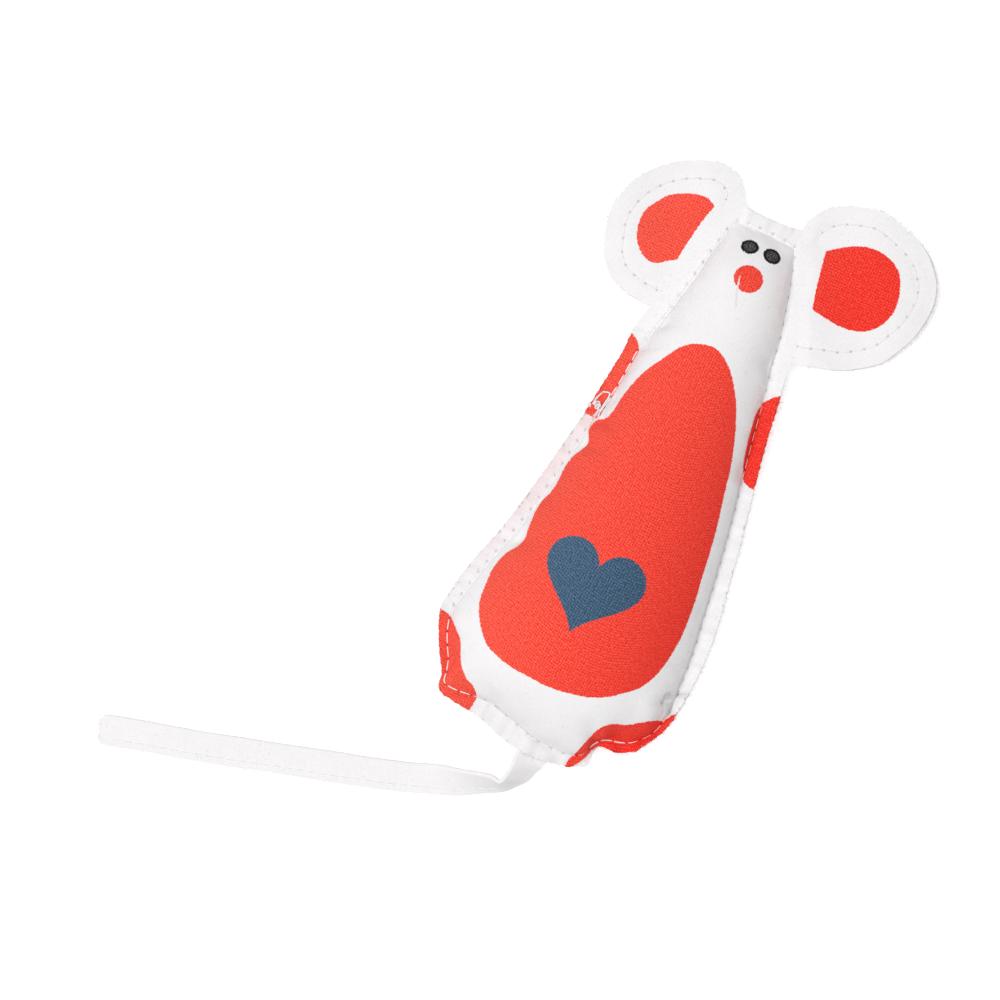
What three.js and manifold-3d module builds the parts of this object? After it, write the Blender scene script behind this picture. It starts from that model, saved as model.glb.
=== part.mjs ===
// A stuffed cotton canvas mouse, lying on its back. Sizes are in millimetres and angles in degrees.
// +Z is up, +Y points from the hem towards the face and +X is to the right, seen from above.
// The origin is on the flat that the back rests on, under the middle of the belly.
// Front and back are one pattern cut twice, sewn together with the raw edges left outside, then filled.

import * as THREE from "three";
import { mergeVertices } from "three/addons/utils/BufferGeometryUtils.js";
import Module from "manifold-3d";

const wasm = await Module();
wasm.setup();

// Cloth, thread and the gaps between pieces that touch
const canvasThickness = 0.55;
const layerGap = 0.3;
const clearance = 0.3;
const fillGap = 0.6;
const fillInset = 0.9;
const threadRadius = 0.2;
const seamAllowance = 4;
const stitchOut = 0.9;

// Body
const bodyLength = 149.2;
const hemToOrigin = 60.5;
const bellyHalfWidth = 32;
const hemCornerRadius = 16;
const hemBow = 2.6;
const crownBow = 0.8;
const bellyHeight = 17.5;
const headHeight = 10.5;
const hemRound = 17;
const crownRound = 11;
const hemSeamHeight = 13.5;
const crownSeamHeight = 8.5;
const restCut = 0.5;

// Half widths of the seam outline from hem to crown at even steps, as shares of the belly's half width
const leftShares = [1.1, 1.09, 1.04, 0.953, 0.84, 0.76, 0.69, 0.605, 0.555, 0.487, 0.4, 0.315, 0.235];
const rightShares = [0.97, 0.96, 0.945, 0.925, 0.875, 0.825, 0.762, 0.672, 0.614, 0.544, 0.475, 0.38, 0.27];

// Where the height falls from belly to head, as shares of the body's length
const bellyEndShare = 0.3;
const headStartShare = 0.8;

// Ears: both layers of each are cut in one piece with the panels and fold along the line between two notches,
// one where the ear leaves the margin beside the neck and one at the crown
const leftEarRadius = 21.1;
const rightEarRadius = 22.7;
const leftEarAlongShare = 0.939;
const rightEarAlongShare = 0.9685;
const leftEarOut = 9;
const rightEarOut = 16.6;
const earStartShare = 0.79;
const earLip = 0.5;
const earFoldGap = 1;
const earStitchInset = 4.2;
const earRootStitchInset = 1.6;

// Tail: a folded strip of canvas, caught in the hem
const tailWidth = 7.5;
const tailThickness = 1.4;
const tailReach = 110;
const tailAtX = 1.8;
const tabInside = 0.3;
const tabOut = 1;
const hemBulgeFall = 6;
const tailStitchInset = 1.3;
const tailHingeGap = 0.8;
const tailClear = 0.4;
const stripStartShares = [0.98, 0.77, 0.37];

// The tail's route from the lift hinge to the tip: its places as shares of its reach, its height above lying flat
// as a share of the hinge's, and how far it has rolled over, as a share of a right angle. It leaves the hem flat,
// stands on its edge where it turns aside and lies flat further on, just clear of the floor.
const tailRouteShares = [
  { x: 0, y: 0, height: 1, roll: 0 },
  { x: 0, y: -0.02, height: 0.94, roll: 0.1 },
  { x: -0.01, y: -0.048, height: 0.61, roll: 0.6 },
  { x: -0.04, y: -0.071, height: 0.54, roll: 0.98 },
  { x: -0.085, y: -0.098, height: 0.48, roll: 0.84 },
  { x: -0.15, y: -0.128, height: 0.2, roll: 0.46 },
  { x: -0.235, y: -0.147, height: 0.035, roll: 0.13 },
  { x: -0.327, y: -0.163, height: 0, roll: 0 },
  { x: -0.566, y: -0.226, height: 0, roll: 0 },
  { x: -0.805, y: -0.292, height: 0, roll: 0 },
  { x: -1, y: -0.339, height: 0, roll: 0 },
];
const tailTurnStation = 3;

// Filling: two wads of fibre in the body with loose catnip between them, and one wad in the head
const neckShare = 0.66;
const wadRim = 0.4;
const catnipRadius = 14;
const catnipHalfThickness = 4;
const catnipAlongShare = 0.28;

// The loose end of the thread that closes the filling hole in the left side, zigzagging over the margin
const knotAlongShare = 0.585;
const knotReach = 6;
const knotCrossingShares = [0.35, 0.9, 0.45, 0.95, 0.4, 0.85];

// How finely the curved pieces are divided
const acrossSteps = 18;
const bodySteps = 20;
const earSideSteps = 6;
const wadAcrossSteps = 12;
const wadAlongSteps = 14;
const headWadSteps = 8;
const earArcSteps = 44;
const threadStep = 4;
const threadSides = 5;
const tailStep = 3;
const sphereSteps = 16;
const tailSamples = 400;
const slopeStepShare = 1e-3;
const mergeWithin = 1e-4;

// The edge of a panel: half the gap to the other panel, and the top of the cloth above the seam's middle plane
const halfGap = layerGap / 2;
const clothTop = halfGap + canvasThickness;
const hemY = -hemToOrigin;
const tailHalf = tailThickness / 2;
const threadHeight = clothTop + clearance + threadRadius;

const clamp = THREE.MathUtils.clamp;
const lerp = THREE.MathUtils.lerp;
const smooth = THREE.MathUtils.smoothstep;

// Body shape

const sideCurve = (shares) =>
  new THREE.SplineCurve(shares.map((share, k) => new THREE.Vector2(k, share * bellyHalfWidth)));
const leftSide = sideCurve(leftShares);
const rightSide = sideCurve(rightShares);

// A quarter-round rise from 0 at the end of the body to 1 once it is as far in as the rounding reaches.
function quarterRound(distance, radius) {
  const left = 1 - clamp(distance / radius, 0, 1);
  return Math.sqrt(1 - left * left);
}

// Half the width of the seam outline on one side, a share of the way along from hem to crown.
function halfWidth(side, along) {
  const curve = side < 0 ? leftSide : rightSide;
  const cornerCut = hemCornerRadius * (1 - quarterRound(along * bodyLength, hemCornerRadius));
  return curve.getPoint(along).y - cornerCut;
}

// The plan place of (across, along), with across from -1 to 1 between the side seams. Insets nest one shape in another.
function plan(across, along, inset = 0) {
  const bow = 1 - across * across;
  const start = hemY - hemBow * bow + inset;
  const end = hemY + bodyLength + crownBow * bow - inset;
  return new THREE.Vector2(across * (halfWidth(across, along) - inset), lerp(start, end, along));
}

// Height of the middle of the seam above the floor: it falls evenly from the hem to the crown.
function seamHeight(y) {
  return lerp(hemSeamHeight, crownSeamHeight, (y - hemY) / bodyLength);
}

// How full the stuffing is at a place: 1 along the middle, 0 at every seam.
function fullness(across, along) {
  const round = Math.sqrt(Math.max(0, 1 - across * across));
  const hem = quarterRound(along * bodyLength, hemRound);
  const crown = quarterRound((1 - along) * bodyLength, crownRound);
  return round * hem * crown;
}

function frontRise(along) {
  return lerp(bellyHeight, headHeight, smooth(along, bellyEndShare, headStartShare));
}

// The hem's layers part where the tail is sewn between them.
function tailBulge(x, along) {
  if (along > 0) return 0;
  const past = Math.abs(x - tailAtX) - tailWidth;
  return tailHalf * (1 - smooth(past, 0, hemBulgeFall));
}

// A point of the upper or lower face of a dome that lies on the seam plane, kept off the floor.
function domePoint(face, across, along, inset, lift, floor) {
  const place = plan(across, along, inset);
  const middle = seamHeight(place.y);
  const full = fullness(across, along);
  const bulge = tailBulge(place.x, along);
  if (face > 0) return new THREE.Vector3(place.x, place.y, middle + lift + bulge + full * frontRise(along));
  const depth = lift + bulge + full * (middle + restCut - lift);
  return new THREE.Vector3(place.x, place.y, Math.max(floor, middle - depth));
}

// Outward direction of the seam outline at one of its points.
function seamNormal(across, along) {
  const sideways = new THREE.Vector2();
  if (Math.abs(across) === 1) {
    const low = plan(across, Math.max(0, along - slopeStepShare));
    const high = plan(across, Math.min(1, along + slopeStepShare));
    sideways.add(new THREE.Vector2(high.y - low.y, low.x - high.x).normalize().multiplyScalar(across));
  }
  if (along === 0 || along === 1) {
    const left = plan(Math.max(-1, across - slopeStepShare), along);
    const right = plan(Math.min(1, across + slopeStepShare), along);
    const way = along === 0 ? 1 : -1;
    sideways.add(new THREE.Vector2(right.y - left.y, left.x - right.x).normalize().multiplyScalar(way));
  }
  return sideways.normalize();
}

// How far the cloth runs on past the seam: the allowance, narrowing beside an ear to a lip at the crown.
function clothPastSeam(across, along) {
  const pastNotch = Math.abs(across) === 1 ? (along - earStartShare) / (1 - earStartShare) : 0;
  return lerp(seamAllowance, earLip, clamp(pastNotch, 0, 1));
}

function rawEdge(across, along, extra = 0) {
  const place = plan(across, along);
  const out = seamNormal(across, along).multiplyScalar(clothPastSeam(across, along) + extra);
  if (along === 1 && Math.abs(across) === 1) out.x = across * (earLip + extra);
  return place.add(out);
}

// Even steps from a to b, drawn closer together at a, at b or at both.
function steps(a, b, count, closer) {
  return Array.from({ length: count + 1 }, (_, k) => {
    const u = k / count;
    if (closer === "start") return lerp(a, b, 1 - Math.cos((u * Math.PI) / 2));
    if (closer === "both") return lerp(a, b, (1 - Math.cos(u * Math.PI)) / 2);
    return lerp(a, b, u);
  });
}

const acrossPlaces = steps(-1, 1, acrossSteps, "both");
const alongPlaces = [
  ...steps(0, earStartShare, bodySteps, "start"),
  ...steps(1, earStartShare, earSideSteps, "start").reverse().slice(1),
];

// Solids

// A closed body between two grids of points that have the same rows and columns.
function betweenGrids(top, bottom) {
  const rows = top.length;
  const columns = top[0].length;
  const points = [...top.flat(), ...bottom.flat()];
  const at = (r, c) => r * columns + c;
  const under = (r, c) => rows * columns + at(r, c);
  const faces = [];
  const quad = (a, b, c, d) => faces.push(a, b, c, a, c, d);
  for (let r = 0; r + 1 < rows; r++) {
    for (let c = 0; c + 1 < columns; c++) {
      quad(at(r, c), at(r, c + 1), at(r + 1, c + 1), at(r + 1, c));
      quad(under(r, c), under(r + 1, c), under(r + 1, c + 1), under(r, c + 1));
    }
  }
  for (let c = 0; c + 1 < columns; c++) {
    quad(under(0, c), under(0, c + 1), at(0, c + 1), at(0, c));
    quad(at(rows - 1, c), at(rows - 1, c + 1), under(rows - 1, c + 1), under(rows - 1, c));
  }
  for (let r = 0; r + 1 < rows; r++) {
    quad(at(r, 0), at(r + 1, 0), under(r + 1, 0), under(r, 0));
    quad(under(r, columns - 1), under(r + 1, columns - 1), at(r + 1, columns - 1), at(r, columns - 1));
  }
  return new THREE.BufferGeometry().setFromPoints(points).setIndex(faces);
}

function toSolid(geometry) {
  const bare = geometry.index ? geometry.toNonIndexed() : geometry.clone();
  bare.deleteAttribute("normal");
  bare.deleteAttribute("uv");
  const merged = mergeVertices(bare, mergeWithin);
  return new wasm.Manifold(
    new wasm.Mesh({
      numProp: 3,
      vertProperties: merged.attributes.position.array,
      triVerts: new Uint32Array(merged.index.array),
    }),
  );
}

function toGeometry(solid) {
  const mesh = solid.getMesh();
  const positions = new Float32Array(mesh.numVert * 3);
  for (let k = 0; k < mesh.numVert; k++) {
    positions.set(mesh.vertProperties.subarray(k * mesh.numProp, k * mesh.numProp + 3), k * 3);
  }
  const geometry = new THREE.BufferGeometry();
  geometry.setAttribute("position", new THREE.BufferAttribute(positions, 3));
  return geometry.setIndex(new THREE.BufferAttribute(mesh.triVerts, 1));
}

// A flat plate with this outline, lying along the sloping plane of the seam between two heights above it.
function plateOnSeam(outline, low, high) {
  const plate = new THREE.ExtrudeGeometry(new THREE.Shape(outline), { depth: high - low, bevelEnabled: false });
  const position = plate.attributes.position;
  for (let k = 0; k < position.count; k++) {
    position.setZ(k, position.getZ(k) + low + seamHeight(position.getY(k)));
  }
  return plate;
}

// A length of thread along a smooth curve through these points.
function thread(points) {
  const path = new THREE.CatmullRomCurve3(points);
  const section = new THREE.Shape(
    Array.from({ length: threadSides }, (_, k) => {
      const turn = (k / threadSides) * 2 * Math.PI;
      return new THREE.Vector2(threadRadius * Math.cos(turn), threadRadius * Math.sin(turn));
    }),
  );
  return new THREE.ExtrudeGeometry(section, {
    steps: Math.max(2, Math.round(path.getLength() / threadStep)),
    extrudePath: path,
    bevelEnabled: false,
  });
}

// Materials

const cloth = (color) => new THREE.MeshStandardMaterial({ color, roughness: 0.95, metalness: 0 });
const printedCanvas = cloth(0xf2efec);
const plainCanvas = cloth(0xf2efec);
const fibre = cloth(0xf7f7f5);
const catnip = cloth(0x6f7a45);
const cottonThread = cloth(0xfaf8f6);

const mouse = new THREE.Group();

function add(name, geometry, material) {
  const mesh = new THREE.Mesh(geometry, material);
  mesh.name = name;
  mouse.add(mesh);
  return mesh;
}

// Front and back panels: a shell of canvas over the filling, running on as a flat margin outside the seam

// The points of one face of a panel: the margin's raw edge all round, and the dome inside it.
function panelFace(side, inset, lift, floor) {
  const edgePoint = (across, along) => {
    const place = rawEdge(across, along);
    const bulge = tailBulge(place.x, along);
    return new THREE.Vector3(place.x, place.y, seamHeight(place.y) + side * (lift + bulge));
  };
  const row = (along, onEdge) => {
    const inner = acrossPlaces.map((across) =>
      onEdge ? edgePoint(across, along) : domePoint(side, across, along, inset, lift, floor),
    );
    const [left, right] = [edgePoint(-1, along), edgePoint(1, along)];
    if (!onEdge) return [left, ...inner, right];
    const cornerOf = (point, across) => {
      const beside = rawEdge(across, along === 0 ? alongPlaces[1] : along);
      const x = along === 0 ? lerp(point.x, beside.x, 0.5) : point.x + across * clearance;
      return new THREE.Vector3(x, lerp(point.y, beside.y, along === 0 ? 0.5 : 0), point.z);
    };
    return [cornerOf(left, -1), ...inner, cornerOf(right, 1)];
  };
  return [row(0, true), ...alongPlaces.map((along) => row(along, false)), row(1, true)];
}

function panel(side) {
  const outer = panelFace(side, 0, clothTop, 0);
  const inner = panelFace(side, canvasThickness, halfGap, canvasThickness);
  return side > 0 ? betweenGrids(outer, inner) : betweenGrids(inner, outer);
}

add("front_panel", panel(1), printedCanvas);
add("back_panel", panel(-1), printedCanvas);

// Filling

const wadInset = canvasThickness + fillInset;

// One face of a wad of fibre, between two shares of the body's length.
function wadFace(side, from, to, acrossCount, alongCount, rim) {
  const rows = steps(from, to, alongCount, from === 0 ? "start" : "none");
  const ordered = to === 1 ? steps(to, from, alongCount, "start").reverse() : rows;
  return ordered.map((along) =>
    steps(-1, 1, acrossCount, "both").map((across) => {
      const place = plan(across, along, wadInset);
      const middle = seamHeight(place.y);
      const full = fullness(across, along);
      const rise = halfGap + rim + full * (frontRise(along) - fillGap - rim);
      if (side > 0) return new THREE.Vector3(place.x, place.y, middle + rise);
      const depth = halfGap + rim + full * (middle + restCut - halfGap - rim);
      return new THREE.Vector3(place.x, place.y, Math.max(wadInset, middle - depth));
    }),
  );
}

function splitFace(side, from, to, acrossCount, alongCount) {
  return wadFace(side, from, to, acrossCount, alongCount, 0).map((row) =>
    row.map((point) => new THREE.Vector3(point.x, point.y, seamHeight(point.y) + side * halfGap)),
  );
}

const neckStart = neckShare - clearance / bodyLength;
const catnipY = hemY + catnipAlongShare * bodyLength;

function catnipLens(extra) {
  const ball = new THREE.SphereGeometry(1, sphereSteps, sphereSteps / 2);
  ball.scale(catnipRadius + extra, catnipRadius + extra, catnipHalfThickness + extra);
  return ball.translate(0, catnipY, seamHeight(catnipY));
}

// Half of the body's filling, hollowed where the catnip lies.
function bodyWad(side) {
  const face = wadFace(side, 0, neckStart, wadAcrossSteps, wadAlongSteps, wadRim);
  const split = splitFace(side, 0, neckStart, wadAcrossSteps, wadAlongSteps);
  const whole = side > 0 ? betweenGrids(face, split) : betweenGrids(split, face);
  return toGeometry(toSolid(whole).subtract(toSolid(catnipLens(clearance))));
}

add("front_filling", bodyWad(1), fibre);
add("back_filling", bodyWad(-1), fibre);
add("catnip_filling", catnipLens(0), catnip);
add(
  "head_filling",
  betweenGrids(
    wadFace(1, neckShare, 1, wadAcrossSteps, headWadSteps, wadRim),
    wadFace(-1, neckShare, 1, wadAcrossSteps, headWadSteps, wadRim),
  ),
  fibre,
);

// Ears: two flat layers of canvas that fold at a straight hinge line just outside the head's side seam

const ears = [
  { name: "left_ear", side: -1, radius: leftEarRadius, alongShare: leftEarAlongShare, out: leftEarOut },
  { name: "right_ear", side: 1, radius: rightEarRadius, alongShare: rightEarAlongShare, out: rightEarOut },
];

// The panel's outline with a margin round it, which the ears are cut to clear.
function panelOutline(extra) {
  const left = alongPlaces.map((along) => rawEdge(-1, along, extra));
  const right = alongPlaces.map((along) => rawEdge(1, along, extra));
  const crown = acrossPlaces.slice(1, -1).map((across) => rawEdge(across, 1, extra));
  const hem = acrossPlaces.slice(1, -1).map((across) => rawEdge(across, 0, extra));
  return [...hem, ...right, ...crown.reverse(), ...left.reverse()];
}

// The fold of an ear: a place on it beside the ear's centre, its direction and the way out of the head.
function earFold(ear) {
  const low = rawEdge(ear.side, earStartShare);
  const way = rawEdge(ear.side, 1).sub(low).normalize();
  const out = new THREE.Vector2(way.y, -way.x).multiplyScalar(ear.side);
  const beside = panelOutline(0).map((point) => point.sub(low)).filter((point) => point.dot(way) > 0);
  const bulge = Math.max(0, ...beside.map((point) => point.dot(out)));
  const centre = plan(ear.side, ear.alongShare).add(new THREE.Vector2(ear.side * ear.out, 0));
  const start = low.clone().addScaledVector(way, centre.clone().sub(low).dot(way));
  return { start: start.addScaledVector(out, bulge + earFoldGap), way, out, centre };
}

// What the ears are cut with to clear the panel's margin
const panelCutter = toSolid(
  plateOnSeam(panelOutline(clearance), -bellyHalfWidth, bellyHalfWidth),
);

// One layer of an ear: a disc, cut straight along the fold and cleared of the panel's margin.
function earLayer(ear, low, high) {
  const { start, way, out, centre } = earFold(ear);
  const disc = Array.from({ length: earArcSteps }, (_, k) => {
    const turn = (k / earArcSteps) * 2 * Math.PI;
    return new THREE.Vector2(ear.radius * Math.cos(turn), ear.radius * Math.sin(turn)).add(centre);
  });
  const corner = (along, past) => start.clone().addScaledVector(way, along).addScaledVector(out, past);
  const span = 2 * ear.radius;
  const inside = [corner(-span, 0), corner(span, 0), corner(span, -2 * span), corner(-span, -2 * span)];
  if (THREE.ShapeUtils.area(inside) < 0) inside.reverse();
  const headSide = toSolid(plateOnSeam(inside, -bellyHalfWidth, bellyHalfWidth));
  return toGeometry(toSolid(plateOnSeam(disc, low, high)).subtract(headSide).subtract(panelCutter));
}

// The line of stitching round an ear, as an open loop that starts and ends beside the fold.
function earStitches(ear, side) {
  const { start, way, out, centre } = earFold(ear);
  const radius = ear.radius - earStitchInset;
  const toFold = centre.clone().sub(start).dot(out) - earRootStitchInset;
  const halfChord = Math.sqrt(radius * radius - toFold * toFold);
  const opening = Math.acos(clamp(toFold / radius, -1, 1));
  const count = Math.round((2 * (Math.PI - opening) * radius) / threadStep);
  const local = steps(-(Math.PI - opening), Math.PI - opening, count).map(
    (turn) => new THREE.Vector2(radius * Math.sin(turn), radius * Math.cos(turn)),
  );
  const rootCount = Math.round((2 * halfChord) / threadStep);
  const root = steps(halfChord, -halfChord, rootCount).map((along) => new THREE.Vector2(along, -toFold));
  const loop = [...local, ...root.slice(1, -1)];
  return thread(
    loop.map((point) => {
      const place = centre.clone().addScaledVector(way, point.x).addScaledVector(out, point.y);
      return new THREE.Vector3(place.x, place.y, seamHeight(place.y) + side * threadHeight);
    }),
  );
}

for (const ear of ears) {
  add(`${ear.name}_front`, earLayer(ear, halfGap, clothTop), printedCanvas);
  add(`${ear.name}_back`, earLayer(ear, -clothTop, -halfGap), plainCanvas);
  add(`${ear.name}_top_thread`, earStitches(ear, 1), cottonThread);
  add(`${ear.name}_bobbin_thread`, earStitches(ear, -1), cottonThread);
}

// Seam threads: the needle thread on the front and the bobbin thread on the back

function seamThreadPoint(side, across, along) {
  const place = plan(across, along).addScaledVector(seamNormal(across, along), stitchOut);
  const bulge = tailBulge(place.x, along);
  return new THREE.Vector3(place.x, place.y, seamHeight(place.y) + side * (threadHeight + bulge));
}

function bodyStitches(side) {
  const sidePlaces = alongPlaces.filter((along) => along > 0 && along < earStartShare - stitchOut / bodyLength);
  const left = sidePlaces.map((along) => seamThreadPoint(side, -1, along)).reverse();
  const hem = acrossPlaces.map((across) => seamThreadPoint(side, across, 0));
  const right = sidePlaces.map((along) => seamThreadPoint(side, 1, along));
  return thread([...left, ...hem, ...right]);
}

function crownStitches(side) {
  return thread(acrossPlaces.slice(1, -1).map((across) => seamThreadPoint(side, across, 1)));
}

add("body_top_thread", bodyStitches(1), cottonThread);
add("body_bobbin_thread", bodyStitches(-1), cottonThread);
add("crown_top_thread", crownStitches(1), cottonThread);
add("crown_bobbin_thread", crownStitches(-1), cottonThread);

// The loose end of the closing thread, beside the seam stitches

function closingEnd() {
  const last = knotCrossingShares.length - 1;
  const nearest = stitchOut + 2 * threadRadius + clearance;
  return thread(
    knotCrossingShares.map((share, k) => {
      const along = knotAlongShare + ((k / last - 1 / 2) * knotReach) / bodyLength;
      const out = lerp(nearest, seamAllowance, share);
      const place = plan(-1, along).addScaledVector(seamNormal(-1, along), out);
      return new THREE.Vector3(place.x, place.y, seamHeight(place.y) + threadHeight);
    }),
  );
}

add("closing_thread", closingEnd(), cottonThread);

// Tail

const tailExit = rawEdge(0, 0);
const liftOut = tabOut + tailHingeGap + tailHalf;
const liftHinge = new THREE.Vector3(tailAtX, tailExit.y - liftOut, seamHeight(tailExit.y - liftOut));

// A flat strip with a rectangular section that follows places, each with its width and thickness directions.
function strip(places) {
  const faces = [-1, 1].map((face) =>
    places.map(({ centre, broad, thick, half }) =>
      [-1, 1].map((edge) =>
        centre
          .clone()
          .addScaledVector(broad, (edge * tailWidth) / 2)
          .addScaledVector(thick, face * half),
      ),
    ),
  );
  const solid = betweenGrids(faces[1], faces[0]);
  return toSolid(solid).volume() > 0 ? solid : betweenGrids(faces[0], faces[1]);
}

function tailRestHeight(roll) {
  return tailClear + (tailWidth / 2) * Math.sin(roll) + tailHalf * Math.cos(roll);
}

const tailStations = tailRouteShares.map(({ x, y, height, roll }) => {
  const turn = (roll * Math.PI) / 2;
  const low = tailRestHeight(turn);
  return {
    place: new THREE.Vector3(
      liftHinge.x + x * tailReach,
      liftHinge.y + y * tailReach,
      lerp(low, liftHinge.z, height),
    ),
    turn,
  };
});
const tailRoute = new THREE.CatmullRomCurve3(tailStations.map((station) => station.place));
const tailRolls = new THREE.SplineCurve(tailStations.map((station, k) => new THREE.Vector2(k, station.turn)));
const turnShare = tailTurnStation / (tailStations.length - 1);
const turnPlace = tailRoute.getPoint(turnShare);

// The strip's centre, directions and half thickness where the route's parameter is u.
function tailPlace(u, half) {
  const centre = tailRoute.getPoint(u);
  const roll = Math.max(0, tailRolls.getPoint(u).y);
  centre.setZ(Math.max(centre.z, tailRestHeight(roll)));
  const forward = tailRoute.getTangent(u);
  const level = new THREE.Vector3(-forward.y, forward.x, 0).normalize();
  const up = forward.clone().cross(level).negate();
  const broad = level.clone().multiplyScalar(Math.cos(roll)).addScaledVector(up, Math.sin(roll));
  const thick = broad.clone().cross(forward).normalize();
  return { centre, broad, thick, half };
}

const tailLengths = tailRoute.getLengths(tailSamples);
const tailLength = tailLengths[tailSamples];
const turnDistance = tailLengths[Math.round(turnShare * tailSamples)];

// The route's parameters between two distances from its start, about one step apart.
function tailParameters(from, to) {
  const count = Math.max(2, Math.round((to - from) / tailStep));
  return steps(from, to, count).map((distance) => {
    const sample = tailLengths.findIndex((length) => length >= Math.min(distance, tailLength));
    return sample / tailSamples;
  });
}

// The rounded start of a piece that turns about the strip's breadth: its section grows as a half circle.
function roundStart(u) {
  const { centre, broad, thick } = tailPlace(u, tailHalf);
  const back = tailRoute.getTangent(u).negate();
  return stripStartShares.map((share) => ({
    centre: centre.clone().addScaledVector(back, tailHalf * share),
    broad,
    thick,
    half: tailHalf * Math.sqrt(1 - share * share),
  }));
}

function tailTab() {
  const inner = plan(0, 0).y + tabInside;
  const outer = tailExit.y - tabOut;
  const places = [inner, outer].map((y) => ({
    centre: new THREE.Vector3(tailAtX, y, seamHeight(y)),
    broad: new THREE.Vector3(1, 0, 0),
    thick: new THREE.Vector3(0, 0, 1),
    half: tailHalf,
  }));
  return strip(places);
}

const tailRootEnd = turnDistance - tailHalf - tailHingeGap;
const rootPlaces = tailParameters(0, tailRootEnd).map((u) => tailPlace(u, tailHalf));
const stripPlaces = tailParameters(turnDistance, tailLength).map((u) => tailPlace(u, tailHalf));

add("tail_tab", tailTab(), plainCanvas);
add("tail_root", strip([...roundStart(0), ...rootPlaces]), plainCanvas);
add("tail_strip", strip([...roundStart(turnShare), ...stripPlaces]), plainCanvas);

// The tail's stitching runs along the edge away from the body.
const tailStitchPlaces = stripPlaces.slice(1, -1).map(({ centre, broad, thick }) => {
  const upward = Math.sign(thick.z);
  return centre
    .clone()
    .addScaledVector(broad, tailWidth / 2 - tailStitchInset)
    .addScaledVector(thick, upward * (tailHalf + clearance + threadRadius));
});
add("tail_thread", thread(tailStitchPlaces), cottonThread);

// Where each joint turns: a point on its axis and the axis itself. An ear's positive turn folds it over the face,
// the tail's lifts it and swings it to the right.
function earJoint(ear) {
  const { start, way } = earFold(ear);
  const rise = seamHeight(start.y + way.y) - seamHeight(start.y);
  const axis = new THREE.Vector3(way.x, way.y, rise).normalize().multiplyScalar(-ear.side);
  return { point: [start.x, start.y, seamHeight(start.y)], axis: axis.toArray() };
}

mouse.userData.joints = {
  left_ear_fold: earJoint(ears[0]),
  right_ear_fold: earJoint(ears[1]),
  tail_lift: { point: liftHinge.toArray(), axis: [-1, 0, 0] },
  tail_swing: { point: turnPlace.toArray(), axis: tailPlace(turnShare, tailHalf).broad.negate().toArray() },
};

export default mouse;
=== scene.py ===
import math

import bpy
import numpy as np
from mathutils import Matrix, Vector


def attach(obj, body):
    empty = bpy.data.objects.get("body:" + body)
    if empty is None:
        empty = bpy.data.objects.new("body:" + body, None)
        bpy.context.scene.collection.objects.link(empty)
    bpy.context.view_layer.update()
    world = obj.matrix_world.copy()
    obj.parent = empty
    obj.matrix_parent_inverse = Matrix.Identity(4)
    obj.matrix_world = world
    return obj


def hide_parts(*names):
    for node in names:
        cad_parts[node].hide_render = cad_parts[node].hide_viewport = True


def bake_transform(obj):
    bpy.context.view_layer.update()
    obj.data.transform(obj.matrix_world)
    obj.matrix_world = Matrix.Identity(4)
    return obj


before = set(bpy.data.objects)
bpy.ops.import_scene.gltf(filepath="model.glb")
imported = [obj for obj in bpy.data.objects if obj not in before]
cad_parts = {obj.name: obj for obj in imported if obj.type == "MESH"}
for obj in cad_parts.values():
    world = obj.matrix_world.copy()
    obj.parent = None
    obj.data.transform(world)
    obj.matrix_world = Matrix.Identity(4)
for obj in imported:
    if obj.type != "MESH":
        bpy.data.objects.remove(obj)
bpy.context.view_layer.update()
mm = 0.001
bpy.context.scene.view_settings.view_transform = "Standard"

# Camera: straight above the toy and turned with it, head to the upper right; the outlines were read off the
# photograph at the level of the seam
camera_height = 1510
camera_middle = (-34.9, -6.6)
read_level = 10
camera = bpy.data.objects.new("camera", bpy.data.cameras.new("camera"))
camera.data.lens = 200
camera.data.sensor_width = 36
camera.location = [part * mm for part in (*camera_middle, camera_height)]
camera.rotation_euler = (0, 0, math.radians(24.5))
bpy.context.scene.collection.objects.link(camera)
bpy.context.scene.camera = camera


# Studio: a white table under one large soft lamp, a little to the left of the picture, and an even white sky. The
# table glows where it is seen or mirrored, and the glow lights nothing else.
def new_material(name, roughness=0.9):
    """A material, a function that adds a node to it, and one that sets inputs of its shader."""
    material = bpy.data.materials.new(name)
    material.use_nodes = True
    tree = material.node_tree

    def put(value, socket):
        if hasattr(value, "is_output"):
            tree.links.new(value, socket)
        elif value is not None:
            socket.default_value = value

    def node(kind, *values, out=0, **settings):
        """A node with values or links in the order of its sockets; in capitals, kind is a Math node's operation."""
        made = tree.nodes.new("ShaderNode" + ("Math" if kind.isupper() else kind))
        if kind.isupper():
            made.operation = kind
        for key, value in settings.items():
            setattr(made, key, value)
        for value, socket in zip(values, made.inputs):
            put(value, socket)
        return made.outputs[out]

    def surface(**inputs):
        for key, value in inputs.items():
            put(value, tree.nodes["Principled BSDF"].inputs[key.replace("_", " ")])

    surface(Roughness=roughness, Specular_IOR_Level=0.2)
    return material, node, surface


def new_piece(name, points, faces, material):
    """A smooth mesh of points in millimetres."""
    mesh = bpy.data.meshes.new(name)
    mesh.from_pydata((np.asarray(points, float) * mm).tolist(), [], [list(map(int, face)) for face in faces])
    mesh.polygons.foreach_set("use_smooth", [True] * len(mesh.polygons))
    mesh.materials.append(material)
    piece = bpy.data.objects.new(name, mesh)
    bpy.context.scene.collection.objects.link(piece)
    return piece


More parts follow.
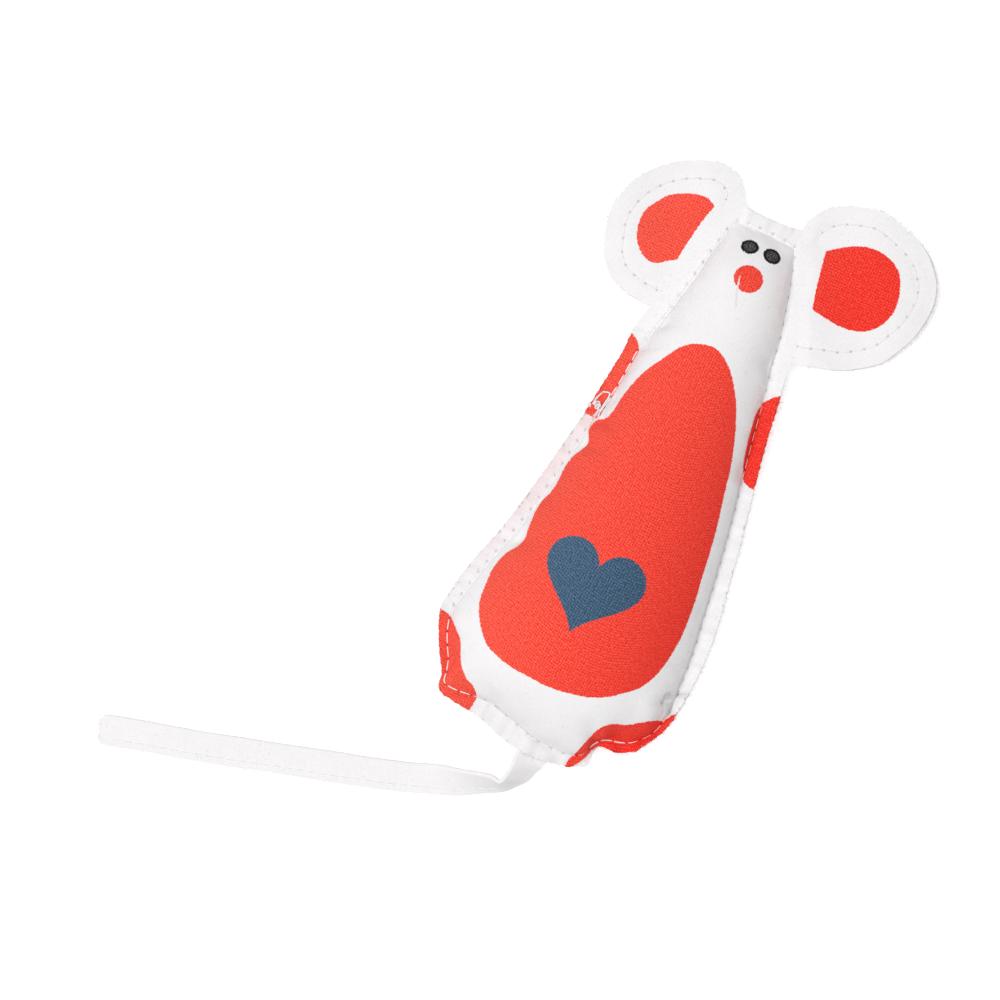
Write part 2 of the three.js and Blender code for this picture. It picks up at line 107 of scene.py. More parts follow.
table_half = 1500
table_paint, table_node, table_surface = new_material("table_paint")
corners = [(x * table_half, y * table_half, 0) for x, y in ((-1, -1), (1, -1), (1, 1), (-1, 1))]
table_top = new_piece("table_top", corners, [(0, 1, 2, 3)], table_paint)
seen = table_node("LightPath")
rays = seen.node.outputs
for ray in ("Is Glossy Ray", "Is Transmission Ray"):
    seen = table_node("MAXIMUM", seen, rays[ray])
table_glow = table_node("MULTIPLY", seen, 0.5)
table_surface(Base_Color=(0.9, 0.9, 0.9, 1), Emission_Color=(1, 1, 1, 1), Emission_Strength=table_glow)

lamp_way = Vector((-0.25, -0.1, 0.93))
lamp = bpy.data.objects.new("lamp", bpy.data.lights.new("lamp", "AREA"))
lamp.data.size = 1.3
lamp.data.energy = 21.8
lamp.data.color = (1, 0.995, 1.03)
lamp.location = lamp_way.normalized() * 1.8
lamp.rotation_euler = lamp_way.to_track_quat("Z", "Y").to_euler()
bpy.context.scene.collection.objects.link(lamp)
sky = bpy.data.worlds.new("sky")
sky.use_nodes = True
sky_light = sky.node_tree.nodes["Background"].inputs
sky_light["Color"].default_value = (1, 0.995, 0.97, 1)
sky_light["Strength"].default_value = 0.465
bpy.context.scene.world = sky

# Front and back panels: one pattern cut twice from heavy cotton canvas, printed, and sewn wrong sides together so
# that the raw edges stay outside. The filling presses both outward; the seam gathers them. All in millimetres.
canvas_thickness = 0.55
half_canvas = canvas_thickness / 2
floor_level = half_canvas + 0.02
layer_offset = 0.33
yarn_pitch = 0.76
seam_height_at_hem = 13.5
seam_height_at_crown = 8.5
hem_y = -60.5
crown_y = 88
belly_rise = 15
head_rise = 9.4
hem_round = 24
crown_round = 18
panel_columns = 112
panel_rows = 272

# Each side from one end to the other: places on the seam and the raw edge beside them
left_side = [
    (-28.3, -57.4, -29.3, -58.6), (-28.6, -55, -29.8, -55.6), (-29.4, -51.8, -31.5, -52.6),
    (-31.6, -47.5, -34, -48.1), (-33.3, -43.5, -36, -43.9), (-33.9, -40, -37.3, -40), (-32.8, -32.5, -36.4, -32),
    (-30.8, -24.3, -34.8, -24.6), (-28.8, -17.5, -32.5, -17.2), (-26.7, -10, -30.5, -9.9), (-24.6, -1, -28.6, -1.1),
    (-23, 8.5, -26.7, 8.7), (-21.9, 16.2, -25.4, 15.9), (-20.2, 24.3, -24, 23.5), (-18.9, 31, -23, 31),
    (-18.1, 37, -22.3, 36.5), (-17.3, 45.1, -21.4, 43.5), (-15.9, 51.5, -21.2, 51), (-14.6, 56.7, -20, 57.6),
    (-12.8, 64.5, -17.6, 64.9), (-11.4, 71, -15.5, 71.3), (-10.4, 77, -13.4, 77.6), (-9.2, 83, -11.4, 83.6),
    (-8.4, 86.2, -10.3, 87), (-7.8, 88, -8.2, 93.2),
]
right_side = [
    (24.5, -51.3, 26.2, -53.2), (27.2, -48.6, 28.6, -49.4), (29.2, -45, 31, -45), (30.1, -41, 32.1, -41),
    (30.1, -35, 32.9, -34.6), (29.7, -24.3, 33.4, -23.8), (28.4, -13.5, 32.6, -12.6), (27, -2.7, 30.9, -2),
    (25.4, 8.1, 29.3, 8.5), (23.9, 17, 27.6, 17.6), (22.4, 24.5, 26.2, 25), (21, 32.5, 24.8, 33),
    (19.7, 40, 23.7, 40.5), (18.6, 47, 22.9, 47.5), (17.5, 53, 21.8, 54), (16.8, 57, 21.3, 59.5),
    (15.8, 64, 19.3, 65.2), (14.2, 71, 17.2, 71.2), (12.6, 77.5, 15.2, 76.8), (10.8, 83.7, 12.95, 83.2),
    (9.8, 86.4, 11.7, 86.8), (9.1, 88.1, 9.3, 93.6),
]
hem_side = [
    (-28.3, -57.4, -29.3, -58.6), (-26.8, -57.9, -28.2, -60), (-23.9, -58, -24.9, -60.9),
    (-20.5, -57.6, -20.9, -61.5), (-17, -57.2, -17.6, -61.8), (-13, -57.5, -13.6, -62.9), (-9, -58.6, -9.5, -64.3),
    (-4.5, -59.9, -4.8, -65.4), (0.5, -61.2, 0.3, -65.8), (5.2, -61.6, 5.4, -65.6), (9.2, -61.4, 9.6, -64.7),
    (11.6, -60.9, 12.3, -64), (13.5, -59.8, 14.4, -60.8), (15.2, -56.2, 15.8, -57), (16.6, -54.3, 17, -55.8),
    (18.6, -53.3, 19, -55.6), (21.3, -52.7, 22, -55.5), (24.5, -51.3, 26.2, -53.2),
]
crown_side = [
    (-7.8, 88, -8.2, 93.2), (-4, 88.4, -4.3, 92.7), (0.5, 88.5, 0.5, 92.6), (5, 88.3, 5.2, 92.9),
    (9.1, 88.1, 9.3, 93.6),
]


def running_length(line):
    """How far along a line of points each of them lies."""
    return np.r_[0, np.cumsum(np.linalg.norm(np.diff(line, axis=0), axis=1))]


def curve(t, start, end, leave, arrive, step=1):
    """Places on a smooth curve between two points, from the way it leaves the one and arrives at the other."""
    pull = leave * (t - 2 * t**2 + t**3) * step + arrive * (t**3 - t**2) * step
    return start * (1 - 3 * t**2 + 2 * t**3) + end * (3 * t**2 - 2 * t**3) + pull


def smooth_line(points, places):
    """Points at given shares of the length of a smooth curve, whose first two columns are its plan."""
    points = np.asarray(points, float)
    chord = running_length(points[:, :3])
    slope = np.gradient(points, chord, axis=0)

    def at(distances):
        k = np.clip(np.searchsorted(chord, distances, side="right") - 1, 0, len(chord) - 2)
        step = (chord[k + 1] - chord[k])[:, None]
        t = (distances - chord[k])[:, None] / step
        return curve(t, points[k], points[k + 1], slope[k], slope[k + 1], step)

    rough = np.linspace(0, chord[-1], 30 * len(points))
    length = running_length(at(rough)[:, :2])
    return at(np.interp(np.asarray(places) * length[-1], length, rough))


def seam_height(y):
    return np.interp(y, (hem_y, crown_y), (seam_height_at_hem, seam_height_at_crown))


def smooth_step(low, high, value):
    t = np.clip((np.asarray(value, float) - low) / (high - low), 0, 1)
    return t * t * (3 - 2 * t)


def gentle_rise(distance, length):
    return np.sin(np.clip(distance / length, 0, 1) * math.pi / 2)


def grid_faces(rows, columns):
    a = (np.arange(rows)[:, None] * (columns + 1) + np.arange(columns)).ravel()
    return np.column_stack([a, a + 1, a + columns + 2, a + columns + 1])


# The plan of both panels, with closer columns where they drop to the seam
even = np.linspace(0, 1, panel_columns + 1)
column_shares = 0.4 * even + 0.3 * (1 - np.cos(math.pi * even))
even = np.linspace(0, 1, panel_rows + 1)
row_shares = even - 0.035 * np.sin(2 * math.pi * even)
left_line, right_line = smooth_line(left_side, row_shares), smooth_line(right_side, row_shares)
hem_line, crown_line = smooth_line(hem_side, column_shares), smooth_line(crown_side, column_shares)
u, v = column_shares[None, :, None], row_shares[:, None, None]
plan = (
    (1 - u) * left_line[:, None, :2] + u * right_line[:, None, :2]
    + (1 - v) * hem_line[None, :, :2] + v * crown_line[None, :, :2]
    - (1 - u) * (1 - v) * hem_line[0, :2] - u * (1 - v) * hem_line[-1, :2]
    - (1 - u) * v * crown_line[0, :2] - u * v * crown_line[-1, :2]
)
body_length = crown_y - hem_y
across, along = np.meshgrid(column_shares, row_shares)
fullness = (
    np.clip(1 - (2 * across - 1) ** 2, 0, 1) ** 0.56
    * gentle_rise(along * body_length, hem_round) * gentle_rise((1 - along) * body_length, crown_round)
)
rise = np.interp(along, (0.25, 0.55, 0.82), (belly_rise, 0.5 * belly_rise + 0.5 * head_rise, head_rise))
middle = seam_height(plan[..., 1])
front_start = np.dstack([plan, middle + fullness * rise])
back_start = np.dstack([plan, middle - fullness * middle])


def press_out(front, back, frames=40, pressure=8, spare_share=0.03, scale=100):
    """How far the filling's pressure moves both panels, held at the seam, as cloth cut slightly too large for it."""
    rows, columns = front.shape[:2]
    numbers = np.arange(rows * columns).reshape(rows, columns)
    inner = np.zeros((rows, columns), bool)
    inner[1:-1, 1:-1] = True
    under = numbers.copy()
    under[inner] = rows * columns + np.arange(inner.sum())
    points = np.vstack([front.reshape(-1, 3), back[inner]])
    quads = grid_faces(rows - 1, columns - 1)
    shell = new_piece("shell", points * scale, np.vstack([quads, under.ravel()[quads][:, ::-1]]), None)
    shell.shape_key_add(name="Basis")
    cut = shell.shape_key_add(name="cut")
    cut.data.foreach_set("co", (points * (1 + spare_share) * scale * mm).ravel())
    shell.vertex_groups.new(name="held").add(numbers[~inner].tolist(), 1, "REPLACE")
    cloth = shell.modifiers.new("cloth", "CLOTH")
    for name, value in {
        "rest_shape_key": cut, "vertex_group_mass": "held", "mass": 0.1, "quality": 6, "tension_stiffness": 40,
        "compression_stiffness": 40, "shear_stiffness": 20, "bending_stiffness": 0.5, "tension_damping": 8,
        "compression_damping": 8, "air_damping": 4, "use_pressure": True, "uniform_pressure_force": pressure,
    }.items():
        setattr(cloth.settings, name, value)
    cloth.settings.effector_weights.gravity = 0
    cloth.collision_settings.use_collision = False
    cloth.point_cache.frame_end = frames
    for step in range(1, frames + 1):
        bpy.context.scene.frame_set(step)
    pressed = np.empty(points.size)
    shell.evaluated_get(bpy.context.evaluated_depsgraph_get()).data.vertices.foreach_get("co", pressed)
    bpy.context.scene.frame_set(1)
    bpy.data.objects.remove(shell)
    moved = pressed.reshape(-1, 3) / (scale * mm) - points
    return moved[numbers], moved[under]


def twice_as_fine(grid):
    """The grid with smooth places added halfway between its own, along both axes."""
    for axis in (0, 1):
        grid = np.moveaxis(grid, axis, 0)
        wide = np.concatenate([2 * grid[:1] - grid[1:2], grid, 2 * grid[-1:] - grid[-2:-1]])
        half = (9 * (wide[1:-2] + wide[2:-1]) - wide[:-3] - wide[3:]) / 16
        fine = np.empty((2 * len(grid) - 1, *grid.shape[1:]))
        fine[::2], fine[1::2] = grid, half
        grid = np.moveaxis(fine, 0, axis)
    return grid


front_moved, back_moved = np.zeros_like(front_start), np.zeros_like(back_start)
front_moved, back_moved = map(twice_as_fine, press_out(front_start[::2, ::2], back_start[::2, ::2]))
front_shape, back_shape = front_start + front_moved, back_start + back_moved

# Puckers: valleys that run in from the seam where the stitches pull, as a place on the seam, the way in, how far
# they reach, their half width and depth
puckers = [
    ((-20, 24.4), (1, -0.15), 8, 1.5, 1.5), ((-21.6, 16.6), (1, 0.1), 9, 1.7, 1.3),
    ((-27.4, -14), (1, 0.1), 10, 2.4, 1.5),
    ((-24.6, -1), (1, 0.3), 6, 1.8, 0.7), ((-15.5, 54), (1, 0.9), 9, 1.6, 0.9), ((-17, 47), (1, 0.5), 6, 1.4, 0.6),
    ((-19, 31), (1, 0.2), 5, 1.2, 0.6), ((-32.4, -45), (1, 0.4), 7, 1.8, 0.8), ((-30, -52), (1, 0.9), 8, 1.5, 1.1),
    ((30.2, -37), (-0.9, -0.4), 8, 1.5, 1.7), ((29.6, -43), (-0.8, 0.7), 5, 1.4, 0.8),
    ((28.2, -12), (-1, 0.2), 6, 2, 0.5), ((22, 27), (-1, 0.3), 6, 1.8, 0.6), ((17, 56), (-1, 0.7), 8, 2, 0.8),
    ((15.6, -56), (-0.6, 0.8), 10, 2, 1.5), ((20, -53), (-0.3, 1), 8, 1.8, 1), ((-24, -58), (0.3, 1), 7, 2, 0.7),
    ((-14, -57.6), (0.1, 1), 6, 2.2, 0.4), ((-4, -60.4), (0, 1), 6, 2, 0.4), ((6, -62), (-0.1, 1), 6, 2.2, 0.5),
    ((-3, 88.5), (0.1, -1), 6, 1.6, 0.4), ((5, 88.4), (-0.2, -1), 6, 1.6, 0.3),
    ((-1.3, 76.8), (0.3, -1), 9, 0.45, 0.35),
]
gather_depth = 0.22
gather_pitch = 8.5
usual_width = 60

# Folds across the seam on the low right, as both ends, the half width and the depth; between them the cloth stands
# full
folds = [((33, -33), (28.3, -35.6), 0.8, 1.2), ((28.3, -35.6), (29.9, -39.7), 0.9, 1.8)]
full_place = (26.2, -41)
full_reach = 5.5
full_rise = 1.9
row_width = np.linalg.norm(right_line[:, :2] - left_line[:, :2], axis=1)[:, None]
from_side, from_end = np.minimum(across, 1 - across), np.minimum(along, 1 - along) * body_length
seam_distance = np.minimum(from_side * row_width, from_end)
even_distance = np.minimum(from_side * usual_width, from_end)


def hump(distance, width, power=2):
    """A smooth hump of height 1 where distance is 0."""
    return np.exp(-((distance / width) ** power))


def unit(ways):
    return ways / np.maximum(np.linalg.norm(ways, axis=-1, keepdims=True), 1e-9)


def ripple(s, pitch, seed):
    """An irregular wave along a distance, between about -1 and 1."""
    phase = np.random.default_rng(seed).uniform(0, 2 * math.pi, 4)
    waves = [(1, 0.5), (1.53, 0.3), (2.17, 0.25), (0.61, 0.3)]
    return sum(size * np.sin(2 * math.pi * s * rate / pitch + p) for (rate, size), p in zip(waves, phase))


def line_distance(places, line):
    """Distance of places from a line of points."""
    best = np.full(np.shape(places)[:-1], np.inf)
    for start, end in zip(line, line[1:]):
        way = np.subtract(end, start)
        t = np.clip((places - start) @ way / (way @ way + 1e-12), 0, 1)[..., None]
        best = np.minimum(best, np.linalg.norm(places - start - t * way, axis=-1))
    return best


def fold_depth(places):
    return np.max([deep * hump(line_distance(places, ends), width) for *ends, width, deep in folds], axis=0)


def seam_dip(places):
    """How deep the stitches pull the seam in, more on the right and at the hem."""
    right = smooth_step(8, 14, places[..., 0]) * (1 - 0.6 * smooth_step(38, 48, places[..., 1]))
    return 0.2 + 0.5 * np.maximum(right, smooth_step(-48, -56, places[..., 1]))


def pucker(shape, layer):
    """Press the puckers, and the folds in front, into a panel; layer is 1 in front and -1 behind."""
    normal = layer * unit(np.cross(np.gradient(shape, axis=1), np.gradient(shape, axis=0)))
    depth = np.zeros(shape.shape[:2])
    for start, way, reach, half_width, deep in puckers:
        way = np.array(way) / np.hypot(*way)
        gap = shape[..., :2] - start
        inward = gap @ way
        spread = half_width * (1 + 0.7 * np.clip(inward, 0, None) / reach)
        valley = deep * hump(gap @ (-way[1], way[0]), spread)
        depth += valley * smooth_step(-3, 0.8, inward) * (1 - smooth_step(0, reach, inward))
    gather = gather_depth * ripple(shape[..., 1] + 0.4 * shape[..., 0], gather_pitch, 3 if layer > 0 else 4)
    depth += gather * smooth_step(0, 1.5, even_distance) * np.exp(-even_distance / 5)
    if layer > 0:
        depth += fold_depth(shape[..., :2])
    return shape - normal * (depth * smooth_step(0, 0.9, even_distance))[..., None]


full = hump(np.linalg.norm(plan - full_place, axis=2), full_reach) * smooth_step(0, 4, seam_distance)
front_shape[..., 2] += full_rise * full
front_shape, back_shape = pucker(front_shape, 1), pucker(back_shape, -1)

# What would be under the floor flattens against it
floor_softness = 0.9
above_floor = (back_shape[..., 2] - floor_level) / floor_softness
back_shape[..., 2] = floor_level + floor_softness * np.logaddexp(0, above_floor)


def rim_numbers(rows, columns):
    """Numbers of the outer points of a grid, all the way round from its first one."""
    numbers = np.arange(rows * columns).reshape(rows, columns)
    return np.r_[numbers[0, :-1], numbers[:-1, -1], numbers[-1, :0:-1], numbers[:0:-1, 0]]


# The seam and raw edge all the way round, from the left end of the hem, and how the margin lifts, ruffles and parts.
# By the ruffle the back's margin is cut wider, as a flap.
round_line = np.vstack([hem_line[:-1], right_line[:-1], crown_line[:0:-1], left_line[:0:-1]])
round_seam, round_edge = round_line[:, :2], round_line[:, 2:]
round_x, round_y = round_seam.T
ring_count = len(round_line)
round_numbers = rim_numbers(panel_rows + 1, panel_columns + 1)
round_distance = running_length(round_seam)
margin_shares = np.array([0.1, 0.24, 0.4, 0.56, 0.72, 0.86, 0.95, 1])
margin_width = np.linalg.norm(round_edge - round_seam, axis=1)
outward = (round_edge - round_seam) / margin_width[:, None]
tail_x = 1.8
ruffled = hump(round_x - 21, 9) * hump(round_y + 52, 6)
beside_ear = smooth_step(51, 56.4, round_y) * smooth_step(5.5, 7.4, np.abs(round_x))
at_tail = hump(round_x - tail_x, 5, 4) * (round_y < -50)
margin_waves = 0.8 + 0.45 * ripple(round_distance, 17, 5) + 1.6 * ruffled * ripple(round_distance, 9, 6)
margin_lift = margin_waves * (1 - beside_ear) - 1.9 * smooth_step(-50, -57, round_y) * (1 - at_tail)
margin_part = (0.2 + 0.16 * ripple(round_distance, 7, 8)) * (1 - beside_ear)
flap = 2.4 * hump(round_edge[:, 0] - 14.7, 2.1) * hump(round_edge[:, 1] + 60.2, 2.9)
flap_way = (0.6, -0.8)
edge_jitter = (0.12 * ripple(round_distance, 2.3, 9) + 0.08 * ripple(round_distance, 0.9, 10)) * (1 - beside_ear)


def margin_height(places, share, layer):
    """Height of the margin's cloth at places a share of its width out from the seam."""
    return (
        seam_height(round_y) + margin_lift * share
        + layer * (layer_offset + margin_part * share**2 + 0.7 * at_tail * smooth_step(0, 0.5, share))
        - seam_dip(places) * hump(share * margin_width, 1) - fold_depth(places)
    )


def with_margin(shape, layer):
    """A panel's points with the rings of its margin after them, and all its faces."""
    grid = shape + (0, 0, layer * layer_offset)
    grid[..., 2] -= seam_dip(plan) * hump(seam_distance, 1.2)
    if layer < 0:
        grid[..., 2] = np.maximum(grid[..., 2], floor_level)
    rings = []
    for share in margin_shares:
        ring = round_seam * (1 - share) + round_edge * share + outward * (edge_jitter * share**3)[:, None]
        if layer < 0:
            ring = ring + (flap * share)[:, None] * flap_way
        rings.append(np.column_stack([ring, margin_height(ring, share, layer)]))
    points = np.vstack([grid.reshape(-1, 3), *rings])
    circles = [round_numbers, *np.arange(seam_distance.size, len(points)).reshape(len(rings), -1)]
    bands = [np.column_stack([np.roll(a, -1), a, b, np.roll(b, -1)]) for a, b in zip(circles, circles[1:])]
    faces = np.vstack([grid_faces(panel_rows, panel_columns), *bands])
    return points, faces if layer > 0 else faces[:, ::-1]


# Prints, as outlines on the panels seen from above
belly_print = [
    (0.2, 54.8), (-6.2, 52.5), (-10.9, 45.8), (-13.5, 41.3), (-15.4, 35.9), (-16.4, 31.3), (-16.9, 27.8),
    (-17.8, 25.4), (-19.8, 23.9), (-20.8, 21.3), (-20.1, 18.9), (-19.4, 17.6), (-20.1, 15.1), (-21.6, 12.4),
    (-22.4, 8.9), (-22.6, 3.8), (-23, 1.4), (-24.3, -2.2), (-24.7, -5.7), (-24.6, -9.7), (-24.3, -13.5),
    (-25.1, -15.9), (-26.9, -18.4), (-28.1, -21.1), (-28.8, -24.6), (-28.8, -28.4), (-28.4, -33.8), (-26.7, -37.8),
    (-24.4, -41), (-21.9, -43.5), (-18.1, -45.1), (-14, -46.2), (-7.8, -46.7), (-1.6, -47), (4.1, -46.2),
    (8.9, -45.1), (13.5, -42.9), (17, -40.2), (20.2, -37.3), (22.3, -33.8), (23.8, -28.9), (24.5, -24.3),
    (24.8, -18.9), (24.2, -9.7), (23.2, -2.7), (22.4, 3.8), (21.3, 10.8), (19.7, 18.4), (18.1, 26.5), (15.7, 34.8),
    (12.7, 42.4), (9.7, 47.5), (6.2, 51.8), (2.2, 54.4),
]
spot_prints = [
    [
        (-20.9, 49), (-18.6, 47.4), (-17.4, 45.1), (-17.7, 42.4), (-18.2, 37), (-18.7, 32.4), (-19.2, 27.8),
        (-19.7, 24.3), (-27, 24.3), (-27, 49),
    ],
    [
        (22.3, 50.2), (20.2, 48.3), (18.6, 46.2), (18.1, 43.5), (18.6, 38.9), (19.7, 32.9), (21.3, 27.8),
        (23.2, 25.1), (25.7, 24.3), (28.6, 24.8), (28.6, 50.2),
    ],
    [
        (-37.2, -40), (-33.8, -40.8), (-31.2, -42.9), (-28.6, -45.6), (-27, -49.1), (-25.4, -51.8), (-23, -54),
        (-20.2, -55.4), (-18.6, -57.5), (-18.9, -61.3), (-18.9, -67), (-44, -67), (-44, -40),
    ],
    [
        (35.9, -37.8), (32.1, -39.7), (30.1, -42.4), (28.1, -43.2), (24.8, -45.1), (21.3, -47.5), (17.6, -48.9),
        (15.1, -51.3), (13.5, -54.8), (12.4, -58.6), (10.8, -63.7), (10.8, -67.5), (18.4, -67.5), (35.9, -48.6),
    ],
]
nose_print = ((1.4, 75.4), (3.95, 3.65), 0)
nose_crease = [(-1.2, 76), (-0.9, 74.6), (-0.6, 73.2), (-0.3, 71.9), (0.1, 70.6)]
crease_places = smooth_line(nose_crease, np.linspace(0, 1, 24))
crease_gap = np.linspace(0.06, 0.44, 24)
eye_prints = [((-1.8, 83.4), (2.4, 1.85), 12), ((4.6, 83.5), (2.5, 1.9), -10)]
heart_middle = (-3, -17)
heart_size = 1.75
turns = np.linspace(0, 2 * math.pi, 72, endpoint=False)
heart_print = heart_middle + 0.5 * heart_size * np.column_stack([
    16 * np.sin(turns) ** 3, 13 * np.cos(turns) - 5 * np.cos(2 * turns) - 2 * np.cos(3 * turns) - np.cos(4 * turns)
])
# A distance at which no print or needle hole shows
far = 9.0


def inside_distance(places, outline):
    """Distance of places from a closed outline, negative inside it."""
    closed = np.vstack([outline, outline[:1]])
    inside = np.zeros(len(places), bool)
    for p, q in zip(closed, closed[1:]):
        crosses = (p[1] > places[:, 1]) != (q[1] > places[:, 1])
        with np.errstate(divide="ignore", invalid="ignore"):
            inside ^= crosses & (places[:, 0] < (q - p)[0] * (places[:, 1] - p[1]) / (q - p)[1] + p[0])
    return line_distance(places, closed) * np.where(inside, -1, 1)


def rounded_outline(outline, corner_degrees=50, steps=4):
    """A closed outline with smooth curves through its points, apart from sharp corners."""
    points = np.asarray(outline, float)
    after = np.roll(points, -1, axis=0) - points
    length = np.linalg.norm(after, axis=1)[:, None]
    after_way = after / length
    before_way = np.roll(after_way, 1, axis=0)
    corner = np.sum(after_way * before_way, axis=1)[:, None] < math.cos(math.radians(corner_degrees))
    way = unit(after_way + before_way)
    leave = np.where(corner, after_way, way) * length
    arrive = np.roll(np.where(corner, before_way, way), -1, axis=0) * length
    t = np.linspace(0, 1, steps, endpoint=False)[:, None, None]
    return curve(t, points, points + after, leave, arrive).transpose(1, 0, 2).reshape(-1, 2)


def as_read(points):
    """Where points of the cloth were read in the photograph, as places at the level of the seam."""
    nearer = (camera_height - read_level) / (camera_height - points[:, 2:3])
    return camera_middle + (points[:, :2] - camera_middle) * nearer


def ellipse_distance(places, middle, radii, tilt):
    turn = math.radians(tilt)
    gap = (places - middle) @ np.array([[math.cos(turn), -math.sin(turn)], [math.sin(turn), math.cos(turn)]])
    return (np.linalg.norm(gap / radii, axis=1) - 1) * min(radii)


def set_values(piece, name, values):
    """Store values for the material to read: a number for all points, or one, two or three numbers for each."""
    values = np.asarray(values, float)
    if values.ndim == 2:
        attribute = piece.data.attributes.new(name, "FLOAT_VECTOR", "POINT")
        attribute.data.foreach_set("vector", np.pad(values, ((0, 0), (0, 3 - values.shape[1]))).ravel())
    else:
        attribute = piece.data.attributes.new(name, "FLOAT", "POINT")
        attribute.data.foreach_set("value", np.broadcast_to(values, len(piece.data.vertices)).copy())


def make_canvas(piece):
    """Turn a sheet into a mesh of the canvas's thickness with crisp cut edges."""
    solid = piece.modifiers.new("thickness", "SOLIDIFY")
    solid.thickness = canvas_thickness * mm
    solid.offset = 0
    mesh = bpy.data.meshes.new_from_object(piece.evaluated_get(bpy.context.evaluated_depsgraph_get()))
    mesh.set_sharp_from_angle(angle=math.radians(50))
    piece.modifiers.clear()
    piece.data = mesh


def cloth_lengths(grid):
    """Distances over the cloth from its middle column and lowest row, which the weave follows."""
    step = np.linalg.norm(np.diff(grid, axis=1), axis=2)
    wide = np.column_stack([np.zeros(len(grid)), np.cumsum(step, axis=1)])
    wide -= wide[:, [grid.shape[1] // 2]]
    step = np.linalg.norm(np.diff(grid, axis=0), axis=2)
    return np.dstack([wide, np.vstack([np.zeros(grid.shape[1]), np.cumsum(step, axis=0)])])


def cloth_material(name, printed):
    """Plain weave of uneven yarns with a few flecks; on printed cloth each ink soaks in unevenly up to its edge."""
    material, node, surface = new_material(name)
    lengths = node("Attribute", attribute_name="weave", out=1)
    scaled = node("VectorMath", lengths, (math.pi / yarn_pitch,) * 3, operation="MULTIPLY")
    wobble = node("TexNoise", lengths, None, 0.25, 2.0, out=1)
    wobble = node("VectorMath", wobble, (1.5, 1.5, 0), operation="MULTIPLY")
    parts = node("SeparateXYZ", node("VectorMath", scaled, wobble, operation="ADD")).node.outputs
    pillow = node("POWER", node("ABSOLUTE", node("MULTIPLY", node("SINE", parts[0]), node("SINE", parts[1]))), 0.5)
    along_yarn = [
        node("TexNoise", node("VectorMath", lengths, stretch, operation="MULTIPLY"), None, 1.0, 2.0)
        for stretch in ((0.35, 1.4, 1), (1.4, 0.35, 1))
    ]
    uneven = node("MULTIPLY", node("ADD", *along_yarn), 0.5)
    fine = node("TexNoise", lengths, None, 2.4, 3.0)
    mottle = node("TexNoise", lengths, None, 0.12, 3.0)
    grain = node("TexNoise", lengths, None, 1.3, 2.0)
    # Tone of the weave: painted shade in the grooves, darker where each yarn crossing's pillow sinks, times the
    # yarns' own uneven tone, grain, mottle and flecks
    shade_and_tone = node("MapRange", pillow, 0.0, 1.0, 0.965, 1.0)
    for pattern, *span in (
        (uneven, 0.35, 0.65, 0.98, 1.005), (grain, 0.34, 0.66, 0.985, 1.01), (mottle, 0.3, 0.7, 0.985, 1.01)
    ):
        shade_and_tone = node("MULTIPLY", shade_and_tone, node("MapRange", pattern, *span))
    fleck = node("TexVoronoi", lengths, None, 0.55)
    fleck_kept = node("GREATER_THAN", node("SeparateXYZ", fleck.node.outputs[1]), 0.55)
    fleck = node("MULTIPLY", node("MapRange", fleck, 0.06, 0.2, 0.12, 0.0), fleck_kept)
    shade_and_tone = node("MULTIPLY", shade_and_tone, node("SUBTRACT", 1.0, fleck))
    colour = (0.93, 0.918, 0.924, 1)
    if printed:
        rag = node("MULTIPLY", node("SUBTRACT", node("ADD", fine, grain), 1.0), 0.5)
        speckle = node("TexNoise", lengths, None, 3.6, 1.0)
        ink_soak_and_shade = node("ADD", node("MULTIPLY", speckle, 0.9), node("MULTIPLY", grain, 0.35))
        # Painted light on the ink: thinner and lighter on the tops of the yarns
        ink_soak_and_shade = node("ADD", node("MULTIPLY", pillow, 0.2), ink_soak_and_shade)
        # Painted shade: the inks are made darker and deeper in colour towards the right, the side turned from the
        # lamp
        painted_right_shade = node("MapRange", node("SeparateXYZ", lengths), -30.0, 30.0, -0.06, 0.1)
        ink_soak_and_shade = node("SUBTRACT", ink_soak_and_shade, painted_right_shade)
        for attribute, thick_ink, thin_ink in (
            ("red_ink", (0.9, 0.025, 0.017, 1), (1, 0.16, 0.106, 1)),
            ("blue_ink", (0.028, 0.066, 0.125, 1), (0.118, 0.204, 0.3, 1)),
            ("black_ink", (0.008, 0.008, 0.009, 1), (0.17, 0.168, 0.174, 1)),
        ):
            from_edge = node("Attribute", attribute_name=attribute, out=2)
            thin = node("MapRange", ink_soak_and_shade, 0.62, 0.9, 0.0, 1.0)
            if attribute == "black_ink":
                thin = node("MULTIPLY", thin, node("MapRange", from_edge, -0.8, -0.4, 1.0, 0.0))
            cover = node("MapRange", node("ADD", from_edge, rag), -0.1, 0.1, 1.0, 0.0)
            colour = node("MixRGB", cover, colour, node("MixRGB", thin, thick_ink, thin_ink))
    bright = node("MixRGB", 1.0, colour, shade_and_tone, blend_type="MULTIPLY")
    # Painted shade from the stored values: darker at the needle holes, in the raw edge's gaps, creases and folds,
    # and a little greyer on the margin
    painted_shade_factor = node("MapRange", node("Attribute", attribute_name="painted_shade", out=2), 0.12, 0.5, 0.62, 1.0)
    bright = node("MixRGB", 1.0, bright, painted_shade_factor, blend_type="MULTIPLY")
    height = node("ADD", node("ADD", pillow, node("MULTIPLY", fine, 0.35)), node("MULTIPLY", uneven, 0.5))
    bump = node("Bump", 0.4, 0.00016, None, height)
    surface(Base_Color=bright, Normal=bump, Sheen_Weight=0.02, Specular_IOR_Level=0.06)
    return material


printed_canvas = cloth_material("printed_canvas_cloth", True)
plain_canvas = cloth_material("plain_canvas_cloth", False)


def on_torso(piece, node_name):
    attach(piece, "torso")
    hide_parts(node_name)


